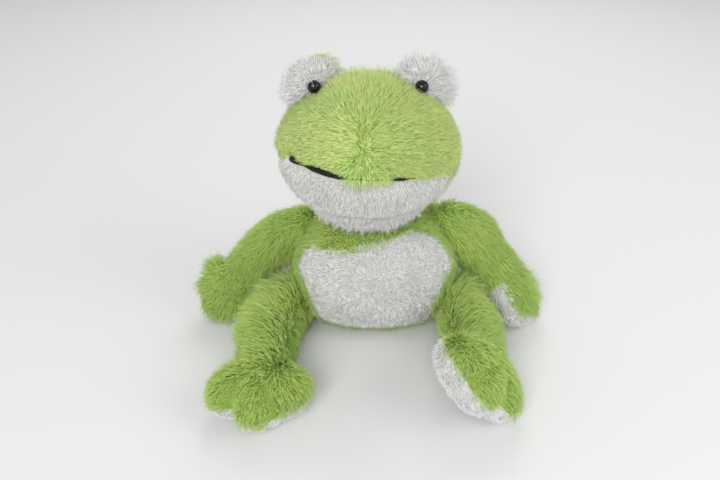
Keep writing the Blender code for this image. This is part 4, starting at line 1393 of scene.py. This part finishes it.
@dataclass(kw_only=True)
class Eye(Part):
    """One eye mound with a white front, a green back and a bead."""

    side: Side
    body: str = "head"
    neighbours: tuple[str, ...] = ("head_skin",)
    seeds: tuple[int, int] = (400, 20)  # the first, and how far the sides' are apart
    voxel: float = 0.0034
    slack: float = 0.0008
    swell: float = 0.0014
    lid_out: float = 0.5
    lid_way: Place = (-0.7, -0.5, 0.5)
    out_way: Place = (0.0, 0.15, 0.10)
    over_turn: float = 2.2
    over_heights: Zone = (0.001, 0.005)
    over_gap: Zone = (0.011, 0.016)
    over_share: PerSide = (1.0, 0.6)
    over_longer: float = 0.35
    over_steeper: float = 0.3
    bead_least: float = 0.7
    bead_gap: Zone = (0.006, 0.015)
    bead_bare: Zone = (0.0048, 0.0062)
    lid_least: float = 0.5
    lid_longer: PerSide = (0.8, 0.0)
    lid_inner: Zone = (-0.008, 0.004)
    lid_stand: PerSide = (0.8, 0.7)
    top: Zone = (0.004, 0.020)
    top_tilt: PerSide = (0.7, 0.0)
    top_cut: PerSide = (0.45, 0.1)
    rim_steeper: float = 0.4
    rim: Zone = (0.012, 0.024)

    def __post_init__(self) -> None:
        """Sets its form and cloths, and finds the bead."""
        tag = self.side.tag
        front, back, core = f"eye_front_{tag}", f"eye_back_{tag}", f"eye_stuffing_{tag}"
        self.inner = (core,)
        self.form = StuffedForm("eye_form_" + tag, (front, back, core), self.voxel, self.slack, self.swell)
        seed = self.seeds[0] + self.seeds[1] * self.side.value
        self.patches = [
            Patch("eye_plush_" + tag, front, Dye.WHITE, SPIKY, seed),
            Patch("eyelid_plush_" + tag, back, Dye.FACE, SPIKY, seed + 5),
        ]
        self.bead = middle_of("eye_bead_" + tag)
        self.bead[1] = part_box("eye_bead_" + tag)[0].y
        self.middle = middle_of(front)

    def comb(self, at: Array, patch: Patch) -> Array:
        """Out and back from the bead; the green back is combed up and forward over the top."""
        if patch.dye is Dye.FACE:
            way = np.array(self.lid_way) * (self.side.value, 1, 1)
            return unit(at - self.middle) * self.lid_out + way
        out = unit(at - self.bead) + self.out_way
        return out * (1 - self.over_turn * self._over(at)[:, None])

    def _over(self, at: Array) -> Array:
        """How far each point's strands fall over the bead's top, from 0 to 1."""
        above = ease(at[:, 2] - self.bead[2], self.over_heights)
        return above * (1 - ease(away_from(at, self.bead), self.over_gap)) * self.side.of(self.over_share)

    def reach(self, at: Array, patch: Patch) -> Array:
        """Short round the bead and over the eye's outer top; the green shows most by the right eye."""
        rise = at[:, 2] - self.middle[2]
        outward = (at[:, 0] - self.middle[0]) * self.side.value
        if patch.dye is Dye.FACE:
            return self.lid_least + self.side.of(self.lid_longer) * (1 - ease(outward, self.lid_inner))
        near = self.bead_least + (1 - self.bead_least) * ease(away_from(at, self.bead), self.bead_gap)
        top = ease(rise + self.side.of(self.top_tilt) * outward, self.top)
        return near * (1 - self.side.of(self.top_cut) * top) + self.over_longer * self._over(at)

    def stand(self, at: Array, patch: Patch) -> Array:
        """Steeper away from the bead, and flat on the green back."""
        if patch.dye is Dye.FACE:
            return np.full(len(at), self.side.of(self.lid_stand))
        rim = self.rim_steeper * ease(away_from(at, self.bead), self.rim)
        return 1 + rim + self.over_steeper * self._over(at)

    def cover(self, at: Array, patch: Patch) -> Array:
        """None under the bead."""
        return ease(away_from(at, self.bead), self.bead_bare)

    def build(self, mesh: bpy.types.Mesh) -> None:
        """Builds the eye and finishes its bead and washer.

        Args:
            mesh: The filled form.
        """
        super().build(mesh)
        finishes = {"eye_bead_": self.palette.bead, "eye_washer_": self.palette.washer}
        for word, finish in finishes.items():
            materials = NODES[word + self.side.tag].data.materials
            materials.clear()
            materials.append(finish)


@dataclass(kw_only=True)
class Limb(Part):
    """An arm or a leg that ends in a fan of fingers or toes."""

    side: Side
    word: str = ""
    panel_word: str = ""
    first_seed: int = 0
    seed_step: int = 30
    voxel: float = 0.0042
    neighbours: tuple[str, ...] = ("torso_skin",)
    fan_from: Zone = (0.66, 0.95)

    def __post_init__(self) -> None:
        """Sets its form and cloths, and finds where the limb starts and the middle of its hand or foot."""
        tag, word = self.side.tag, self.word
        self.body = f"{word}_{tag}"
        skin, core, panel = f"{word}_skin_{tag}", f"{word}_stuffing_{tag}", f"{self.panel_word}_panel_{tag}"
        self.inner = (core,)
        self.form = StuffedForm(f"{word}_form_{tag}", (skin, core, panel), self.voxel)
        seed = self.first_seed + self.seed_step * self.side.value
        self.patches = [
            Patch(f"{word}_plush_{tag}", skin, Dye.BODY, LONG, seed),
            Patch(f"{self.panel_word}_plush_{tag}", panel, Dye.WHITE, SHORT, seed + 5),
        ]
        (joint,) = [joint for joint in frame["joints"] if joint["child"] == self.body]
        self.root = np.array(joint["pos_m"])
        self.fan = middle_of(panel)
        sheet = places(NODES[panel].data)
        self.flat_way = np.linalg.svd(sheet - sheet.mean(0), full_matrices=False)[2][2]
        self.flat_way *= np.sign(self.flat_way @ (places(NODES[skin].data).mean(0) - self.fan))

    def _along(self, at: Array) -> tuple[Array, Array]:
        """How far along the limb each point is, from 0 to 1, and the limb's axis."""
        axis = self.fan - self.root
        length = np.linalg.norm(axis)
        return (at - self.root) @ axis / length**2, axis / length

    def _fanned(self, along: Array, strip: Array, spread: Array) -> Array:
        """The comb along the limb, which turns into the one over its fan."""
        share = ease(along, self.fan_from)[:, None]
        return strip * (1 - share) + spread * share


@dataclass(kw_only=True)
class Arm(Limb):
    """An arm with a four fingered hand."""

    word: str = "arm"
    panel_word: str = "palm"
    first_seed: int = 500
    out_by: float = 0.35
    out_from: Zone = (0.1, 0.35)
    inner_out: float = 1.1
    droop: float = -0.45
    ruffle: float = 0.35
    ruffle_until: Zone = (0.04, 0.2)
    fan_back: float = 0.015
    palm_round: PerSide = (0.0, 0.006)
    inner_zone: Zone = (0.002, 0.014)
    inner_steeper: float = 0.7
    inner_longer: float = 0.7
    inner_until: Zone = (0.6, 0.85)
    thumb_zone: Zone = (0.018, 0.032)
    thumb_from: Zone = (0.5, 0.65)
    thumb_longer: PerSide = (0.4, 0.8)

    def comb(self, at: Array, patch: Patch) -> Array:
        """Along the arm and a little down and out, then out over its fingers."""
        along, axis = self._along(at)
        away = (at - self.root) - np.outer((at - self.root) @ axis, axis)
        aside = self.out_by * ease(along, self.out_from) + self.inner_out * self._inner(at)
        strip = axis + np.array((0.0, 0.0, self.droop)) + unit(away) * aside[:, None]
        ruffled = np.random.default_rng(self.first_seed).normal(size=at.shape)
        strip += ruffled * self.ruffle * (1 - ease(along, self.ruffle_until))[:, None]
        return self._fanned(along, strip, unit(at - self.fan + axis * self.fan_back))

    def shift(self, at: Array) -> Array:
        """On the frog's left the white of the palm comes round to the front."""
        return np.tile(-self.flat_way * self.side.of(self.palm_round), (len(at), 1))

    def _inner(self, at: Array) -> Array:
        """How far each point is on the side of the arm that faces the leg, from 0 to 1."""
        _, axis = self._along(at)
        below = np.array((-abs(axis[2]) * self.side.value, 0.0, -abs(axis[0])))
        return ease((at - self.root) @ (below / np.linalg.norm(below)), self.inner_zone)

    def stand(self, at: Array, patch: Patch) -> Array:
        """Steeper on the side that faces the leg."""
        return 1 + self.inner_steeper * self._inner(at)

    def reach(self, at: Array, patch: Patch) -> Array:
        """Longer under the arm and at the thumb."""
        along, _ = self._along(at)
        up_and_out = (at[:, 0] - self.fan[0]) * self.side.value + at[:, 2] - self.fan[2]
        thumb = ease(up_and_out, self.thumb_zone) * ease(along, self.thumb_from)
        inner = self._inner(at) * (1 - ease(along, self.inner_until))
        return 1 + self.inner_longer * inner + self.side.of(self.thumb_longer) * thumb


@dataclass(kw_only=True)
class Leg(Limb):
    """A leg with a three toed foot."""

    word: str = "leg"
    panel_word: str = "sole"
    first_seed: int = 600
    neighbours: tuple[str, ...] = ("torso_skin", "arm_skin", "palm_panel")
    sole_down: PerSide = (0.0080, 0.0025)
    flank_start: float = 0.018
    flank: Zone = (0.0, 0.012)
    strip_along: float = 0.45
    strip_down: float = -0.15
    fan_back: float = 0.04
    fan_aside: float = 0.35
    fan_down: float = -0.55
    stands: float = 0.95
    top_steeper: float = 0.15
    top_heights: Zone = (0.024, 0.038)
    foot_from: Zone = (0.7, 0.95)
    foot_flatter: float = 0.5
    outer: Zone = (0.0, 0.02)
    outer_until: Zone = (0.4, 0.7)
    outer_longer: PerSide = (0.75, 0.2)
    hip_until: Zone = (0.0, 0.15)
    hip_longer: float = 0.6
    notches_deg: tuple[float, float] = (35, -42)
    notch_width: float = 11
    notch_cut: float = 0.85
    toe_tips: Zone = (0.014, 0.030)

    def shift(self, at: Array) -> Array:
        """On the flat foot the green comes down over the edge of the sole."""
        return np.tile((0.0, 0.0, self.side.of(self.sole_down)), (len(at), 1))

    def _outward(self, at: Array) -> Array:
        """How far each point is to the outer side of the leg's axis."""
        along, axis = self._along(at)
        across = at[:, 0] - self.root[0] - axis[0] * along * np.linalg.norm(self.fan - self.root)
        return across * self.side.value

    def comb(self, at: Array, patch: Patch) -> Array:
        """Outwards over the leg from its inner flank, then out over its toes and down their fronts."""
        along, axis = self._along(at)
        across = self._outward(at) + self.flank_start
        flank = np.zeros_like(at)
        flank[:, 0] = np.sign(across) * ease(np.abs(across), self.flank) * self.side.value
        strip = axis * self.strip_along + flank + np.array((0.0, 0.0, self.strip_down))
        spread = unit(at - self.fan + axis * self.fan_back) + flank * self.fan_aside
        return self._fanned(along, strip, spread + np.array((0.0, 0.0, self.fan_down)))

    def stand(self, at: Array, patch: Patch) -> Array:
        """Steeper on the top of the leg."""
        along, _ = self._along(at)
        foot = 1 - self.foot_flatter * ease(along, self.foot_from)
        return self.stands + self.top_steeper * ease(at[:, 2], self.top_heights) * foot

    def reach(self, at: Array, patch: Patch) -> Array:
        """Longer on the thigh's outer side, and short in the notches between the toes."""
        along, axis = self._along(at)
        outer = ease(self._outward(at), self.outer) * (1 - ease(along, self.outer_until))
        hip = 1 - ease(along, self.hip_until)
        forward = axis - self.flat_way * axis.dot(self.flat_way)
        aside = np.cross(forward, self.flat_way)
        aside *= np.sign(aside[0]) * self.side.value
        spot = at - self.fan
        turn = np.degrees(np.arctan2(spot @ aside, spot @ forward))
        notch = sum(hump(turn - way, self.notch_width) for way in self.notches_deg)
        notch *= ease(away_from(at, self.fan), self.toe_tips)
        return 1 + self.side.of(self.outer_longer) * outer + self.hip_longer * hip - self.notch_cut * notch


# ---- studio


@dataclass
class Studio:
    """A plain pale floor, soft lamps and the camera."""

    eye: Place = (-0.014, -0.6997, 0.4747)
    tilt_deg: float = 30.0
    lens: float = 40.0
    film: float = 36.0
    lit_point: Place = (0.0, -0.06, 0.1)
    lamps: tuple = (  # name, place, side and watts
        ("key", (-0.6, -2.6, 1.55), 1.5, 66.0),
        ("fill", (1.3, -0.7, 0.9), 1.0, 7.0),
        ("back", (0.1, 1.2, 1.3), 1.0, 8.0),
    )
    floor_half: float = 6.0
    floor_roughness: float = 0.85
    floor_specular: float = 0.2
    pale: Colour = (0.80, 0.80, 0.80)
    grains_per_metre: float = 60.0
    grain: float = 0.05
    grain_depth: float = 0.001
    sky_light: float = 0.45
    sky_seen: float = 0.82

    def build(self) -> None:
        """Builds the studio."""
        data = bpy.data.cameras.new("camera")
        data.lens = self.lens
        data.sensor_width = self.film
        camera = self._placed("camera", data, self.eye)
        camera.rotation_euler = (math.radians(90 - self.tilt_deg), 0, 0)
        bpy.context.scene.camera = camera
        self._floor()
        for name, place, size, power in self.lamps:
            data = bpy.data.lights.new(name, "AREA")
            data.size = size
            data.energy = power
            way = Vector(self.lit_point) - Vector(place)
            self._placed(name, data, place).rotation_euler = way.to_track_quat("-Z", "Y").to_euler()
        self._sky()
        bpy.context.scene.view_settings.view_transform = "Standard"

    def _placed(self, name: str, data: bpy.types.ID, place: Place) -> bpy.types.Object:
        """Puts a camera or a lamp into the scene.

        Args:
            name: Its name.
            data: The camera or the lamp.
            place: Where it is.

        Returns:
            Its object.
        """
        obj = new_object(name, data)
        obj.location = place
        return obj

    def _floor(self) -> None:
        """A wide floor just under the frog."""
        mesh = bpy.data.meshes.new("floor")
        far = self.floor_half
        mesh.from_pydata([(-far, -far, 0), (far, -far, 0), (far, far, 0), (-far, far, 0)], [], [(0, 1, 2, 3)])
        made, wires, shader = shader_of(
            "pale_floor", Roughness=self.floor_roughness, Specular_IOR_Level=self.floor_specular,
            Base_Color=(*self.pale, 1),
        )
        feeds = {"Vector": wires.objects_own(), "Scale": self.grains_per_metre, "Detail": 4.0}
        grain = wires.add("ShaderNodeTexNoise", feeds).outputs["Fac"]
        wires.relief(shader, grain, self.grain, self.grain_depth)
        mesh.materials.append(made)
        new_object("floor", mesh)

    def _sky(self) -> None:
        """An even pale surround, lighter where the camera sees it than where it lights."""
        world = bpy.data.worlds.new("surround")
        bpy.context.scene.world = world
        world.use_nodes = True
        wires = Wires(world.node_tree)
        sky = world.node_tree.nodes["Background"]
        sky.inputs["Color"].default_value = (1, 1, 1, 1)
        path = wires.add("ShaderNodeLightPath").outputs
        mirrored = wires.math("MAXIMUM", path["Is Glossy Ray"], path["Is Transmission Ray"])
        seen = wires.math("MAXIMUM", path["Is Camera Ray"], mirrored)
        feeds = {"Value": seen, "To Min": self.sky_light, "To Max": self.sky_seen}
        strength = wires.add("ShaderNodeMapRange", feeds)
        wires.tree.links.new(strength.outputs[0], sky.inputs["Strength"])


def main() -> None:
    """Builds the studio and the frog."""
    logging.basicConfig(level=logging.INFO, format="%(name)s: %(message)s")
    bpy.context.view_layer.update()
    Studio().build()
    shared = {"palette": Palette(), "tree": PileTree()}
    parts: list[Part] = [Torso(**shared), Neck(**shared), Head(**shared)]
    for side in Side:
        parts += [Eye(side=side, **shared), Arm(side=side, **shared), Leg(side=side, **shared)]
    filled = fill([part.form for part in parts])
    for part in parts:
        part.build(filled[part.form.name])


if __name__ == "__main__":
    main()
